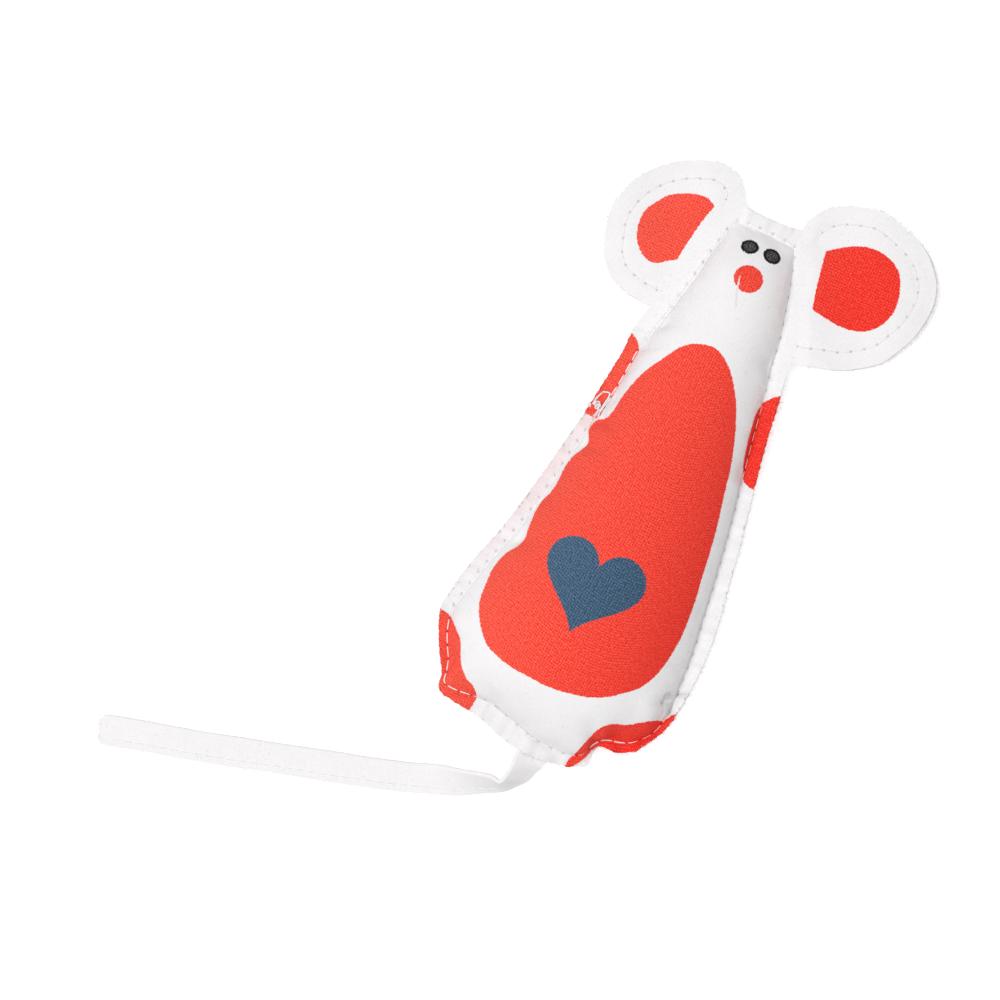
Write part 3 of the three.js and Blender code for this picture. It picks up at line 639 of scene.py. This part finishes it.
def panel_piece(name, shape, layer, node_name):
    points, faces = with_margin(shape, layer)
    piece = new_piece(name, points, faces, printed_canvas)
    lengths = cloth_lengths(shape).reshape(-1, 2)
    past = points[len(lengths):, :2].reshape(len(margin_shares), -1, 2) - round_seam
    set_values(piece, "weave", np.vstack([lengths, (lengths[round_numbers] + past).reshape(-1, 2)]))
    places = as_read(points)
    red = np.min([inside_distance(places, rounded_outline(spot)) for spot in spot_prints], axis=0)
    blue = black = far
    if layer > 0:
        in_crease = (crease_gap - np.linalg.norm(places[:, None] - crease_places, axis=2)).max(axis=1)
        nose = np.maximum(ellipse_distance(places, *nose_print), in_crease)
        red = np.minimum(red, np.minimum(inside_distance(places, rounded_outline(belly_print)), nose))
        blue = inside_distance(places, heart_print)
        black = np.minimum(*[ellipse_distance(places, *eye) for eye in eye_prints])
    else:
        red[len(lengths):][np.tile(flap, len(margin_shares)) > 0.5] = far
    for ink, from_edge in (("red_ink", red), ("blue_ink", blue), ("black_ink", black)):
        set_values(piece, ink, from_edge)
    on_torso(piece, node_name)
    return piece, points


front_panel, front_points = panel_piece("front_panel_cloth", front_shape, 1, "front_panel")
back_panel, back_points = panel_piece("back_panel_cloth", back_shape, -1, "back_panel")

# Body seam: one lockstitched thread in front and one behind, just outside the filled body, round the sides and hem,
# and a second pair over the crown. Heavy white spun polyester; each stitch dives where the needle went through.
stitch_pitch = 3.7
stitch_length = 3.35
thread_radius = 0.19
thread_proud = 0.01
thread_dip = 0.42
seam_stitch_out = 0.85

sewing_thread, thread_node, thread_surface = new_material("sewing_thread", 0.75)
place = thread_node("Attribute", attribute_name="weave", out=1)
parts = thread_node("SeparateXYZ", place).node.outputs
# The twist shows as a bump and as painted shade between the plies; the fuzz is the thread's own uneven tone
twist = thread_node("SINE", thread_node("ADD", parts[0], thread_node("MULTIPLY", parts[1], 7.0)))
twist = thread_node("MULTIPLY_ADD", twist, 0.5, 0.5)
fuzz = thread_node("MapRange", thread_node("TexNoise", place, None, 6.0, 2.0), 0.3, 0.7, 0.95, 1.02)
shade_and_tone = thread_node("MULTIPLY", thread_node("MapRange", twist, 0.0, 1.0, 0.93, 1.0), fuzz)
thread_surface(
    Base_Color=thread_node("MixRGB", 1.0, (0.93, 0.91, 0.915, 1), shade_and_tone, blend_type="MULTIPLY"),
    Normal=thread_node("Bump", 0.6, 0.00008, None, twist), Sheen_Weight=0.15,
)


def sweep(name, lines, radii, material, sides=8):
    """Round threads in one piece: lines holds every thread's centre line, radii its radius at each point."""
    lines = np.asarray(lines, float)
    count, steps = lines.shape[:2]
    tangent = unit(np.gradient(lines, axis=1))
    level = np.abs(tangent[..., 2]).mean(axis=1) < 0.8
    upright = np.where(level[:, None], (0.0, 0.0, 1.0), (1.0, 0.0, 0.0))[:, None, :]
    side = unit(np.cross(tangent, upright))
    over = np.cross(side, tangent)
    turn = np.linspace(0, 2 * math.pi, sides, endpoint=False)
    round_it = side[:, :, None] * np.cos(turn)[:, None] + over[:, :, None] * np.sin(turn)[:, None]
    radii = np.broadcast_to(radii, (count, steps))
    points = (lines[:, :, None] + round_it * radii[:, :, None, None]).reshape(-1, 3)
    ring = np.arange(count * steps).reshape(count, steps)[:, :-1].ravel() * sides
    k = np.arange(sides)
    a, b = ring[:, None] + k, ring[:, None] + (k + 1) % sides
    walls = np.stack([a, b, b + sides, a + sides], axis=-1).reshape(-1, 4)[:, ::-1].tolist()
    first = (np.arange(count) * steps * sides)[:, None] + k
    last = first + (steps - 1) * sides
    piece = new_piece(name, points, walls + first.tolist() + last[:, ::-1].tolist(), material)
    distance = np.zeros((count, steps))
    distance[:, 1:] = np.cumsum(np.linalg.norm(np.diff(lines, axis=1), axis=2), axis=1)
    around = np.broadcast_to(turn, (count, steps, sides)).ravel()
    set_values(piece, "weave", np.column_stack([around, np.repeat(distance.ravel(), sides)]))
    return piece


def at_distances(places, distance, points):
    """Points between those of a line, at places along it."""
    return np.stack([np.interp(places, distance, column) for column in points.T], axis=-1)


def stitches(path, up, first=0.5, steps=11, pitch=stitch_pitch, length=stitch_length):
    """Centre lines of the stitches along a path on the cloth's face, and the needle holes between them."""
    distance = running_length(path)
    middles = np.arange(first * pitch, distance[-1] - pitch / 2, pitch)
    t = np.linspace(-1, 1, steps)
    places = middles[:, None] + t * length / 2
    lift = thread_proud - thread_dip * np.abs(t) ** 6
    ups = at_distances(places, distance, np.broadcast_to(up, path.shape))
    lines = at_distances(places, distance, path) + ups * lift[:, None]
    ends = np.concatenate([middles - length / 2, middles + length / 2])
    return lines, at_distances(ends, distance, path[:, :2])


crown_start, crown_end = panel_columns + panel_rows, 2 * panel_columns + panel_rows
right_part = np.arange(panel_columns, crown_start + 1)
left_part = np.arange(ring_count - 1, crown_end - 1, -1)
round_order = np.r_[np.arange(crown_end, ring_count), np.arange(0, crown_start + 1)]
stitch_out = seam_stitch_out - np.where(
    round_x < 0,
    0.6 * smooth_step(-38, -43, round_y) * smooth_step(-60, -56, round_y) + 0.35 * hump(round_y - 37, 9, 4)
    + 0.6 * smooth_step(-56.5, -57.5, round_y),
    0.8 * smooth_step(-82, -70, round_x - round_y),
)
needle_holes = {}
for layer, side_name in ((1, "top"), (-1, "bobbin")):
    share = np.clip(stitch_out / margin_width, 0, 0.9)
    places = round_seam + outward * (share * margin_width)[:, None]
    height = margin_height(places, share, layer) + layer * (half_canvas + 0.2 * ruffled)
    path = np.column_stack([places, height])
    body_lines, body_holes = stitches(path[round_order], (0, 0, layer))
    body_thread = sweep(f"body_{side_name}_stitches", body_lines, thread_radius, sewing_thread)
    crown_lines, crown_holes = stitches(path[crown_start : crown_end + 1], (0, 0, layer), first=0.35)
    crown_thread = sweep(f"crown_{side_name}_stitches", crown_lines, thread_radius, sewing_thread)
    needle_holes[layer] = np.vstack([body_holes, crown_holes])
    for piece, node_name in ((body_thread, "body"), (crown_thread, "crown")):
        on_torso(piece, f"{node_name}_{side_name}_thread")


def point_distance(places, points):
    best = np.full(len(places), far)
    for point in points:
        best = np.minimum(best, np.linalg.norm(places - point, axis=1))
    return best


# Painted shade for the material to darken the cloth by: at the needle holes, in the gaps between the loose yarns of
# the raw edge, along the fold that runs on below the nose, in the crease of the seam, most on the right and at the
# hem, and in the folds on the low right; behind, only at the needle holes. The margin is also made a little greyer
# all round, most at the hem.
gap_count = 60
free_edge = np.flatnonzero((beside_ear < 0.5) & (round_y < crown_y - 3))
picks = np.random.default_rng(69).choice(free_edge, gap_count)
edge_gaps = (round_edge - 0.15 * outward)[picks]
nose_fold = [(-0.4, 72.6), (-0.1, 71.2), (0.4, 69.8), (1, 68.4), (1.4, 67.2)]
nose_fold = smooth_line(nose_fold, np.linspace(0, 1, 24))
deep_seam = 0.35 - 0.35 * np.clip((seam_dip(front_points) - 0.2) / 0.5, 0, 1)
from_crease = np.r_[seam_distance.ravel(), np.outer(margin_shares, margin_width).ravel()]
margin_grey = 0.46 - 0.03 * smooth_step(-50, -56, round_y) + 0.04 * ripple(round_distance, 5, 21) + beside_ear
margin_grey = np.r_[np.ones(seam_distance.size), np.tile(margin_grey, len(margin_shares))]
front_places = front_points[:, :2]
dark = np.min([
    point_distance(front_places, needle_holes[1]), 0.08 + point_distance(front_places, edge_gaps),
    0.22 + point_distance(as_read(front_points), nose_fold), 0.2 + deep_seam + 0.5 * from_crease, margin_grey,
    0.52 - 0.2 * fold_depth(front_places),
], axis=0)
set_values(front_panel, "painted_shade", dark)
set_values(back_panel, "painted_shade", point_distance(back_points[:, :2], needle_holes[-1]))
make_canvas(front_panel)
make_canvas(back_panel)

# Closing thread: the hole for filling, high in the left side, is closed by hand; the loose end zigzags over the
# margin to a small knot.
closing_radius = 0.22
closing_routes = [
    [
        (-22, 31.4), (-21.1, 31.7), (-19.9, 31.9), (-19.7, 30.9), (-20, 29.2), (-20.3, 27.3), (-20.7, 25.6),
        (-20.6, 24.8),
    ],
    [(-22.8, 27.2), (-22.2, 28.4), (-21.4, 28.5), (-21.1, 27.3), (-20.7, 25.6)],
    [(-19.2, 30.9), (-19.6, 28.8), (-20.1, 27.1), (-20.2, 25.9), (-20, 24.4)],
    [(-19.6, 27.2), (-20.7, 26.4), (-21.2, 24.9), (-21.4, 24.5)],
    [(-23.6, 26.2), (-24.2, 26.9), (-23.5, 27.1), (-23.3, 26.3)],
    [(-21.8, 31.2), (-22.2, 30.3), (-22.6, 29.2), (-22.8, 28.2), (-22.9, 27.3)],
]
margin_top = layer_offset + half_canvas
closing_steps = 28
closing_lines = []
for k, route in enumerate(closing_routes):
    line = smooth_line(route, np.linspace(0, 1, closing_steps))
    lift = margin_top + closing_radius * (0.8 + 1.5 * (k % 2)) + 0.5 * np.abs(ripple(line[:, 1], 4.2, 20 + k))
    lift -= (lift - margin_top + 0.3) * np.abs(np.linspace(-1, 1, closing_steps)) ** 8
    seam_x, edge_x, lifted, parted = (
        np.interp(line[:, 1], round_y[left_part], values[left_part])
        for values in (round_x, round_edge[:, 0], margin_lift, margin_part)
    )
    inside = np.clip((line[:, 0] - seam_x) / 1.5, 0, 1)
    share = np.clip((seam_x - line[:, 0]) / (seam_x - edge_x), 0, 1)
    height = seam_height(line[:, 1]) + lifted * share + parted * share**2 + lift + 1.6 * inside
    closing_lines.append(np.column_stack([line, height]))
turns = np.linspace(0, 2 * math.pi, closing_steps)
knot_middle = (-21.6, 27.4)
knot = 0.28 * np.column_stack([
    np.sin(turns) + 2 * np.sin(2 * turns), np.cos(turns) - 2 * np.cos(2 * turns), -1.2 * np.sin(3 * turns)
])
closing_lines.append(knot + (*knot_middle, seam_height(knot_middle[1]) + margin_top + 1.3))
closing_thread = sweep("closing_thread_tangle", closing_lines, closing_radius, sewing_thread)
on_torso(closing_thread, "closing_thread")

# Filling: wads of carded polyester fibre behind the belly, behind the back and in the head, with loose dried catnip
# between the two body wads. None of it shows unless the toy is opened.
wad_skin = 1.1
catnip_middle = (0, -18.2)
catnip_radius = 14
catnip_half_thickness = 4
wad_step = 4
neck_row = int(0.66 * panel_rows) // wad_step - 3
fibre, fibre_node, fibre_surface = new_material("white_fibre", 0.95)
tangle = fibre_node("TexNoise", fibre_node("Attribute", attribute_name="weave", out=1), None, 1.4, 5.0)
fibre_surface(
    Base_Color=fibre_node("MixRGB", tangle, (0.8, 0.8, 0.79, 1), (0.93, 0.93, 0.92, 1)),
    Normal=fibre_node("Bump", 0.8, 0.0006, None, tangle),
)


def wad(name, outer, inner, node_name, seed, bump_size=0.45):
    """A closed wad of fibre between two grids of points, with a bumpy surface."""
    points = np.vstack([outer.reshape(-1, 3), inner.reshape(-1, 3)])
    phase = np.random.default_rng(seed).uniform(0, 6.28, (3, 3))
    bumps = sum(np.sin(points @ np.random.default_rng(seed + k).normal(0, 0.9, (3, 3)) + phase[k]) for k in range(3))
    faces = grid_faces(outer.shape[0] - 1, outer.shape[1] - 1)
    count = outer.shape[0] * outer.shape[1]
    rim = rim_numbers(*outer.shape[:2])
    walls = np.column_stack([np.roll(rim, -1), rim, rim + count, np.roll(rim, -1) + count])
    faces = np.vstack([faces, faces[:, ::-1] + count, walls])
    piece = new_piece(name, points + bump_size * bumps / 3, faces, fibre)
    set_values(piece, "weave", points)
    on_torso(piece, node_name)


def further_out(layer, one, other):
    """The heights further out on a layer; further in, where layer is that of the other side."""
    return layer * np.maximum(layer * one, layer * other)


inside = (slice(16, -8, wad_step), slice(8, -8, wad_step))
wad_plan, wad_middle = plan[inside], middle[inside]
shrink = 0.75 + 0.25 * smooth_step(0, 8, (from_side * usual_width)[inside])
lens = 1 - np.linalg.norm((wad_plan - catnip_middle) / catnip_radius, axis=2) ** 2
cavity = catnip_half_thickness * np.sqrt(np.clip(lens, 0, 1))
canvas_sides = {1: front_shape[inside][..., 2] - seam_dip(wad_plan), -1: back_shape[inside][..., 2]}
between = (canvas_sides[1] + canvas_sides[-1]) / 2
skins, linings = {}, {}
for layer, shape in ((1, front_shape[inside]), (-1, back_shape[inside])):
    lining = wad_middle + layer * (0.2 + cavity)
    skin = wad_middle + (shape[..., 2] - layer * wad_skin - wad_middle) * shrink
    skin = further_out(layer, further_out(layer, skin, wad_middle + layer * 0.6), lining + layer * 0.4)
    skin = further_out(-layer, skin, further_out(layer, between + layer * 0.1, canvas_sides[layer] - layer * 0.8))
    lining = further_out(-layer, lining, further_out(layer, between, canvas_sides[layer] - layer))
    skins[layer] = np.dstack([shape[..., :2], skin])
    linings[layer] = np.dstack([wad_plan, lining])
wad("front_fibre", skins[1][:neck_row], linings[1][:neck_row], "front_filling", 31)
wad("back_fibre", linings[-1][:neck_row], skins[-1][:neck_row], "back_filling", 32)
wad("head_fibre", skins[1][neck_row:], skins[-1][neck_row:], "head_filling", 33)

flake_count = 420
chance = np.random.default_rng(11)
flake_turn = chance.uniform(0, 2 * math.pi, flake_count)
flake_out = catnip_radius * 0.9 * np.sqrt(chance.uniform(0, 1, flake_count))
flake_height = 0.75 * catnip_half_thickness * np.sqrt(1 - (flake_out / catnip_radius) ** 2)
flake_height = flake_height * chance.uniform(-1, 1, flake_count)
flake_places = np.column_stack([
    catnip_middle[0] + flake_out * np.cos(flake_turn), catnip_middle[1] + flake_out * np.sin(flake_turn),
    seam_height(catnip_middle[1]) + flake_height,
])
flake_axes = unit(chance.normal(size=(flake_count, 2, 3)))
flake_axes = np.stack([*flake_axes.transpose(1, 0, 2), np.cross(flake_axes[:, 0], flake_axes[:, 1])], axis=1)
flake_size = chance.uniform(0.7, 1.5, flake_count)
leaf_outline = np.array([
    (-1, 0, 0), (-0.4, 0.5, 0.15), (0.5, 0.4, 0.2), (1, 0, 0), (0.4, -0.5, 0.1), (-0.5, -0.4, 0.2)
])
flake_points = (flake_places[:, None] + flake_size[:, None, None] * (leaf_outline @ flake_axes)).reshape(-1, 3)
dried_leaf, leaf_node, leaf_surface = new_material("dried_catnip", 0.85)
leaf_shade = leaf_node("TexNoise", leaf_node("TexCoord", out=3), None, 700.0, 3.0)
leaf_surface(Base_Color=leaf_node("MixRGB", leaf_shade, (0.09, 0.12, 0.03, 1), (0.27, 0.3, 0.11, 1)))
leaves = new_piece("catnip_leaves", flake_points, np.arange(len(flake_points)).reshape(-1, 6), dried_leaf)
leaves.modifiers.new("thickness", "SOLIDIFY").thickness = 0.08 * mm
on_torso(leaves, "catnip_filling")

# Ears: front and back layers of canvas, cut in one with the panels, left unfilled and topstitched round. They fold
# where they leave the head's margin. Where the back layer was cut larger, it slips past the front one.
ear_rows = 170
ear_columns = 60
ear_stitch_in = 4.9
fold_width = 3.8
freed_width = 5
stitches_from_fold = 1.2
ears = {
    "left": (-1, (0, 0), [
        (-20, 57.6), (-23.5, 57.9), (-27.1, 58.6), (-32.4, 60.7), (-36.4, 64.7), (-38.6, 70), (-40, 75.3),
        (-39.9, 80.7), (-38.3, 85.7), (-35.8, 90.2), (-32.3, 94), (-28, 97.2), (-22.9, 99.6), (-17.4, 101),
        (-12, 99.4), (-8.6, 95.6), (-8.2, 93.2),
    ], [
        (-15, 89.5), (-16.2, 90.3), (-17.4, 90.8), (-19, 90.9), (-22.1, 90.2), (-24.9, 88.9), (-27.6, 87.2),
        (-29.7, 84.5), (-31.6, 81.1), (-32, 78.3), (-31.5, 75.2), (-30.2, 72.4), (-27.8, 69.9), (-25, 68.8),
        (-23.1, 69.1), (-20.2, 71.1), (-18.3, 72.2), (-18, 74.8), (-17.3, 79.6), (-16.3, 84.6), (-15.8, 86.8),
    ]),
    "right": (1, (1.15, 0.05), [
        (21.3, 59.5), (24.5, 60.2), (27.9, 61.4), (34, 63.2), (39.2, 66.3), (43.6, 69.9), (46.4, 74.7), (48.5, 79.4),
        (49.6, 84.4), (49.9, 89.6), (48.6, 94.6), (45.6, 98.9), (41.7, 102.4), (36.9, 104.6), (32, 106.2),
        (26.7, 107), (21.2, 105.8), (15.8, 103.6), (11.4, 99.8), (9.6, 96.5), (9.3, 93.6),
    ], [
        (17.3, 91), (20.9, 93.7), (25.4, 96.1), (29.2, 96.9), (32.1, 96.7), (35.4, 95.6), (37.8, 93.7),
        (39.7, 90.2), (40.8, 85.6), (40.5, 81.8), (38.6, 78), (35.4, 75.3), (31.6, 74.2), (28.4, 74), (24, 74.5),
        (20.5, 75.1), (19.4, 79.4), (18.1, 86.1),
    ]),
}


def ear_bend(places, side):
    """How far an ear's cloth lies above the seam's plane."""
    x, y = places[..., 0], places[..., 1]
    return 0.5 * np.sin(0.21 * x + 0.13 * y + side) + 0.35 * np.sin(0.33 * y - 0.17 * x + 2 * side)


def left_of(ways):
    return np.stack([-ways[..., 1], ways[..., 0]], axis=-1)


def on_fold(piece, bodies, node_names, slot):
    """Bake a piece's place into its mesh and hide the model's parts that it stands for."""
    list(bodies)
    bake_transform(piece)
    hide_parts(*node_names)


ear_edges = []
for side_name, (side, slipped, outline, print_outline) in ears.items():
    part = right_part if side > 0 else left_part
    fold = part[round_edge[part, 1] >= outline[0][1] - 0.01]
    fold_distance = running_length(round_edge[fold])
    fold_distance /= fold_distance[-1]
    shares = np.linspace(0, 1, ear_rows + 1)
    fold_line = at_distances(shares, fold_distance, round_edge[fold])
    fold_height = seam_height(np.interp(shares, fold_distance, round_y[fold]))[:, None]
    fold_way = unit(fold_line[-1] - fold_line[0])
    fold_out = -side * left_of(fold_way)
    arc = smooth_line(outline, shares)
    arc[0], arc[-1] = fold_line[0], fold_line[-1]
    arc_way = unit(np.gradient(arc, axis=0))
    out_share = np.linspace(0, 1, ear_columns + 1)
    ear_plan = fold_line[:, None] * (1 - out_share[:, None]) + arc[:, None] * out_share[:, None]
    from_fold = (ear_plan - fold_line[0]) @ fold_out
    from_edge = line_distance(ear_plan, arc)
    freed = smooth_step(0, freed_width, from_fold)
    ear_middle = seam_height(ear_plan[..., 1]) + freed * ear_bend(ear_plan, side)
    ear_middle = ear_middle * freed + fold_height * (1 - freed)
    edge_distance = running_length(arc)
    ear_middle += 0.3 * ripple(edge_distance, 27, 40 + side)[:, None] * smooth_step(7, 0, from_edge) * freed
    puff = 0.14 * (1 - hump(from_edge - ear_stitch_in, 0.9)) * smooth_step(0, 2.5, from_edge)
    puff += 0.1 * (1 + ripple(edge_distance, 9, 50 + side)[:, None]) * smooth_step(2.5, 0, from_edge)
    puff *= freed
    stitch_plan = smooth_line(outline, np.linspace(0, 1, 500))
    stitch_plan = stitch_plan + ear_stitch_in * side * left_of(unit(np.gradient(stitch_plan, axis=0)))
    kept = np.flatnonzero((stitch_plan - fold_line[0]) @ fold_out > stitches_from_fold)
    stitch_plan = stitch_plan[kept[0] : kept[-1] + 1]
    stitch_freed = smooth_step(0, freed_width, (stitch_plan - fold_line[0]) @ fold_out)
    stitch_height = seam_height(stitch_plan[:, 1]) + stitch_freed * ear_bend(stitch_plan, side)
    fold_middle = fold_line[len(fold_line) // 2]
    bodies = ("torso", f"{side_name}_ear")
    fold_end = fold_middle + fold_out * fold_width
    bend = [(*(place * mm), seam_height(fold_middle[1]) * mm) for place in (fold_middle, fold_end)]
    for layer, layer_name, thread_name, slot, canvas in (
        (1, "front", "top", "printed_canvas", printed_canvas), (-1, "back", "bobbin", "plain_canvas", plain_canvas)
    ):
        slip = np.clip(side * (arc_way @ (-slipped[1], slipped[0])), 0, 1) ** 2 * (layer < 0)
        layer_plan = ear_plan + (out_share**3 * slip[:, None])[..., None] * slipped
        points = np.dstack([layer_plan, ear_middle + layer * (layer_offset + puff)]).reshape(-1, 3)
        faces = grid_faces(ear_rows, ear_columns)
        if layer * side > 0:
            faces = faces[:, ::-1]
        cloth = new_piece(f"{side_name}_ear_{layer_name}_cloth", points, faces, canvas)
        set_values(cloth, "weave", ear_plan.reshape(-1, 2))
        if layer > 0:
            set_values(cloth, "red_ink", inside_distance(as_read(points), rounded_outline(print_outline)))
            for ink in ("blue_ink", "black_ink"):
                set_values(cloth, ink, far)
        path = np.column_stack([stitch_plan, stitch_height + layer * (layer_offset + half_canvas)])
        ear_lines, ear_holes = stitches(path, (0, 0, layer))
        # Painted shade at the ear's needle holes
        set_values(cloth, "painted_shade", point_distance(ear_plan.reshape(-1, 2), ear_holes))
        make_canvas(cloth)
        on_fold(cloth, bodies, (f"{side_name}_ear_{layer_name}",), slot)
        ear_thread = sweep(f"{side_name}_ear_{thread_name}_stitches", ear_lines, thread_radius, sewing_thread)
        on_fold(ear_thread, bodies, (f"{side_name}_ear_{thread_name}_thread",), "thread")
    ear_edges.append((side_name, side, arc, arc_way, ear_middle[:, -1], from_fold[:, -1], puff[:, -1]))

# Tail: a strip of canvas folded in half along its length and stitched beside its raw edges, caught in the hem. It
# leaves the hem flat, stands on edge where it turns aside and lies flat from there. Each station is a place and
# how far the strip has rolled, in degrees.
tail_width = 7.9
tail_layer = 0.4
tail_stitch_in = 1.7
tail_stitch_pitch = 3.15
tail_stitch_length = 0.84 * tail_stitch_pitch
tail_stations = [
    (1.8, -64.5, 13.6, 0), (1.3, -66.2, 13.8, 12), (0.9, -68.3, 13.2, 30), (0.1, -72.6, 11, 50), (-2.2, -76, 9, 72),
    (-4.8, -76.9, 7.8, 60), (-8.8, -78.5, 6, 48), (-13.9, -80.8, 3.8, 30), (-19.6, -82.8, 2.1, 12),
    (-26, -85.3, 1.2, 0),
    (-33.8, -87.8, 1.1, 0), (-49.6, -92.3, 1.1, 0), (-65.5, -96.8, 1.1, 0), (-81.4, -101.3, 1.1, 0),
    (-97.4, -105.3, 1.1, 0), (-108, -108.2, 1.1, 0),
]
tail_step = 0.8
tail_tip_round = 1.7
route = np.asarray(tail_stations, float)
tail_steps = int(running_length(route[:, :3])[-1] / tail_step)
tail_line = smooth_line(route, np.linspace(0, 1, tail_steps))
tail_distance = running_length(tail_line[:, :3])
forward = unit(np.gradient(tail_line[:, :3], axis=0))
level = unit(np.column_stack([left_of(forward), np.zeros(tail_steps)]))
roll = np.radians(np.clip(tail_line[:, 3], 0, None))[:, None]
broad = level * np.cos(roll) - np.cross(forward, level) * np.sin(roll)
face = unit(np.cross(forward, broad))
tip = np.clip((tail_distance - (tail_distance[-1] - tail_tip_round)) / tail_tip_round, 0, 1)
half_width = tail_width / 2 - tail_tip_round * (1 - np.sqrt(1 - 0.97 * tip**2))
half_width += 0.1 * ripple(tail_distance, 31, 60)
across_top = np.linspace(1, -1, 16)
fold_turn = np.linspace(0, math.pi, 7)[1:-1]


def tail_section(half_width):
    """The folded strip's middle line at one station: across the top, round the fold and back underneath."""
    flat = half_width - tail_layer
    top = flat * across_top + (tail_layer + 0.25) * (across_top > 0.999)
    stitched = hump(across_top * flat - (half_width - tail_stitch_in), 0.7)
    lips = smooth_step(half_width - tail_stitch_in, half_width, across_top * flat)
    height = tail_layer * (1 - 0.2 * stitched) + 0.12 * lips
    bend = [(-flat - tail_layer * math.sin(a), tail_layer * math.cos(a)) for a in fold_turn]
    under = [(b - 0.2 * (n == 0), -h) for n, (b, h) in enumerate(zip(top, height))][::-1]
    return np.array([*zip(top, height), *bend, *under])


sections = np.array([tail_section(width) for width in half_width])
tail_grid = tail_line[:, None, :3] + sections[..., :1] * broad[:, None] + sections[..., 1:] * face[:, None]
section_steps = np.linalg.norm(np.diff(sections, axis=1), axis=2)
section_lengths = np.column_stack([np.zeros(tail_steps), np.cumsum(section_steps, axis=1)])
tail_lengths = np.dstack([section_lengths, np.broadcast_to(tail_distance[:, None], section_lengths.shape)])
split = int(np.argmin(np.abs(tail_line[:, 1] + 73.6) + 99 * (tail_distance > 14)))
tail_parts = [
    (
        "tail_root_cloth", slice(0, split + 1), ("tail_tab", "tail_root"),
        ("torso", "tail_base"), ((1.2, -67.6, 13.4), (0.4, -71.6, 11.5)),
    ), (
        "tail_strip_cloth", slice(split, None), ("tail_strip",),
        ("tail_base", "tail"), ((-0.4, -74.4, 10), (-5, -78.2, 8)),
    ),
]
for name, part, node_names, bodies, bend_places in tail_parts:
    grid = tail_grid[part]
    cloth = new_piece(name, grid.reshape(-1, 3), grid_faces(grid.shape[0] - 1, grid.shape[1] - 1), plain_canvas)
    set_values(cloth, "weave", tail_lengths[part].reshape(-1, 2))
    set_values(cloth, "painted_shade", far)
    make_canvas(cloth)
    bend = [tuple(c * mm for c in place) for place in bend_places]
    on_fold(cloth, bodies, node_names, "plain_canvas")

# The tail's stitches bend as the strip does
thread_path = tail_line[:, :3] + broad * (half_width - tail_stitch_in)[:, None]
stitched = slice(split + 6, -3)
tail_lines = []
for flip in (1, -1):
    path = thread_path + face * flip * (0.8 * tail_layer + half_canvas)
    ups = flip * face[stitched]
    tail_lines.append(stitches(path[stitched], ups, pitch=tail_stitch_pitch, length=tail_stitch_length)[0])
tail_thread = sweep("tail_stitches", np.vstack(tail_lines), thread_radius, sewing_thread)
on_fold(tail_thread, bodies, ("tail_thread",), "thread")

# Frayed yarn ends along every raw edge
fray_radius = 0.06
fray_steps = 6
fray_rooted = 0.25
margin_ends, ear_ends, tip_ends, strip_ends = 1000, 520, 90, 260
yarn_fluff, _, fluff_surface = new_material("yarn_fluff", 0.95)
fluff_surface(Base_Color=(0.95, 0.94, 0.945, 1), Sheen_Weight=0.4)


def fray(name, starts, ways, body, seed):
    """Short loose yarn fibres from points on a raw edge, the way it faces, in plan or in space."""
    dice = np.random.default_rng(seed)
    count = len(starts)
    ways = np.pad(ways, ((0, 0), (0, 3 - ways.shape[1])))
    reach = 0.35 + 0.9 * dice.uniform(0, 1, count) ** 3
    t = np.linspace(0, 1, fray_steps)[:, None]
    bend = dice.normal(0, 0.45, (count, 3)) * (1, 1, 0.5)
    leave = ways + 0.6 * dice.normal(0, 0.5, (count, 3)) * (1, 1, 0.6)
    lines = starts[:, None] - fray_rooted * ways[:, None] * (1 - t)
    lines = lines + reach[:, None, None] * (leave[:, None] * t + bend[:, None] * t**2)
    piece = sweep(name, lines, fray_radius * (1 - 0.5 * t[:, 0]), yarn_fluff, sides=3)
    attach(piece, body)


dice = np.random.default_rng(70)
starts, ways = [], []
for points in (front_points, back_points):
    rim = points[-ring_count:]
    picks = dice.choice(free_edge, margin_ends)
    mix = dice.uniform(0, 1, (margin_ends, 1))
    places = rim[picks] * mix + rim[(picks + 1) % ring_count] * (1 - mix)
    places[:, 2] += dice.uniform(-0.2, 0.2, margin_ends)
    starts.append(places)
    ways.append(outward[picks])
fray("margin_fray", np.vstack(starts), np.vstack(ways), "torso", 71)
for side_name, side, arc, arc_way, edge_height, from_fold, puff in ear_edges:
    picks = dice.choice(np.flatnonzero(from_fold > fold_width + 0.5), ear_ends)
    layer = np.where(dice.uniform(0, 1, ear_ends) < 0.5, 1, -1)
    height = edge_height[picks] + layer * (layer_offset + puff[picks]) + dice.uniform(-0.2, 0.2, ear_ends)
    places = arc[picks] + arc_way[picks] * dice.uniform(-0.35, 0.35, (ear_ends, 1))
    ways = -side * left_of(arc_way[picks])
    fray(f"{side_name}_ear_fray", np.column_stack([places, height]), ways, f"{side_name}_ear", 72 + side)
tip_grid = tail_grid[-1]
picks = dice.choice(np.arange(len(tip_grid) - 1), tip_ends)
mix = dice.uniform(0, 1, (tip_ends, 1))
tip_starts = tip_grid[picks] * mix + tip_grid[picks + 1] * (1 - mix)
edge_picks = dice.choice(np.arange(split + 12, len(tail_grid) - 1), strip_ends)
edge_starts = tail_grid[edge_picks, dice.choice([0, -1], strip_ends)]
tail_ways = np.vstack([np.repeat(forward[-1:], tip_ends, 0), broad[edge_picks]])
fray("tail_fray", np.vstack([tip_starts, edge_starts]), tail_ways, "tail", 75)
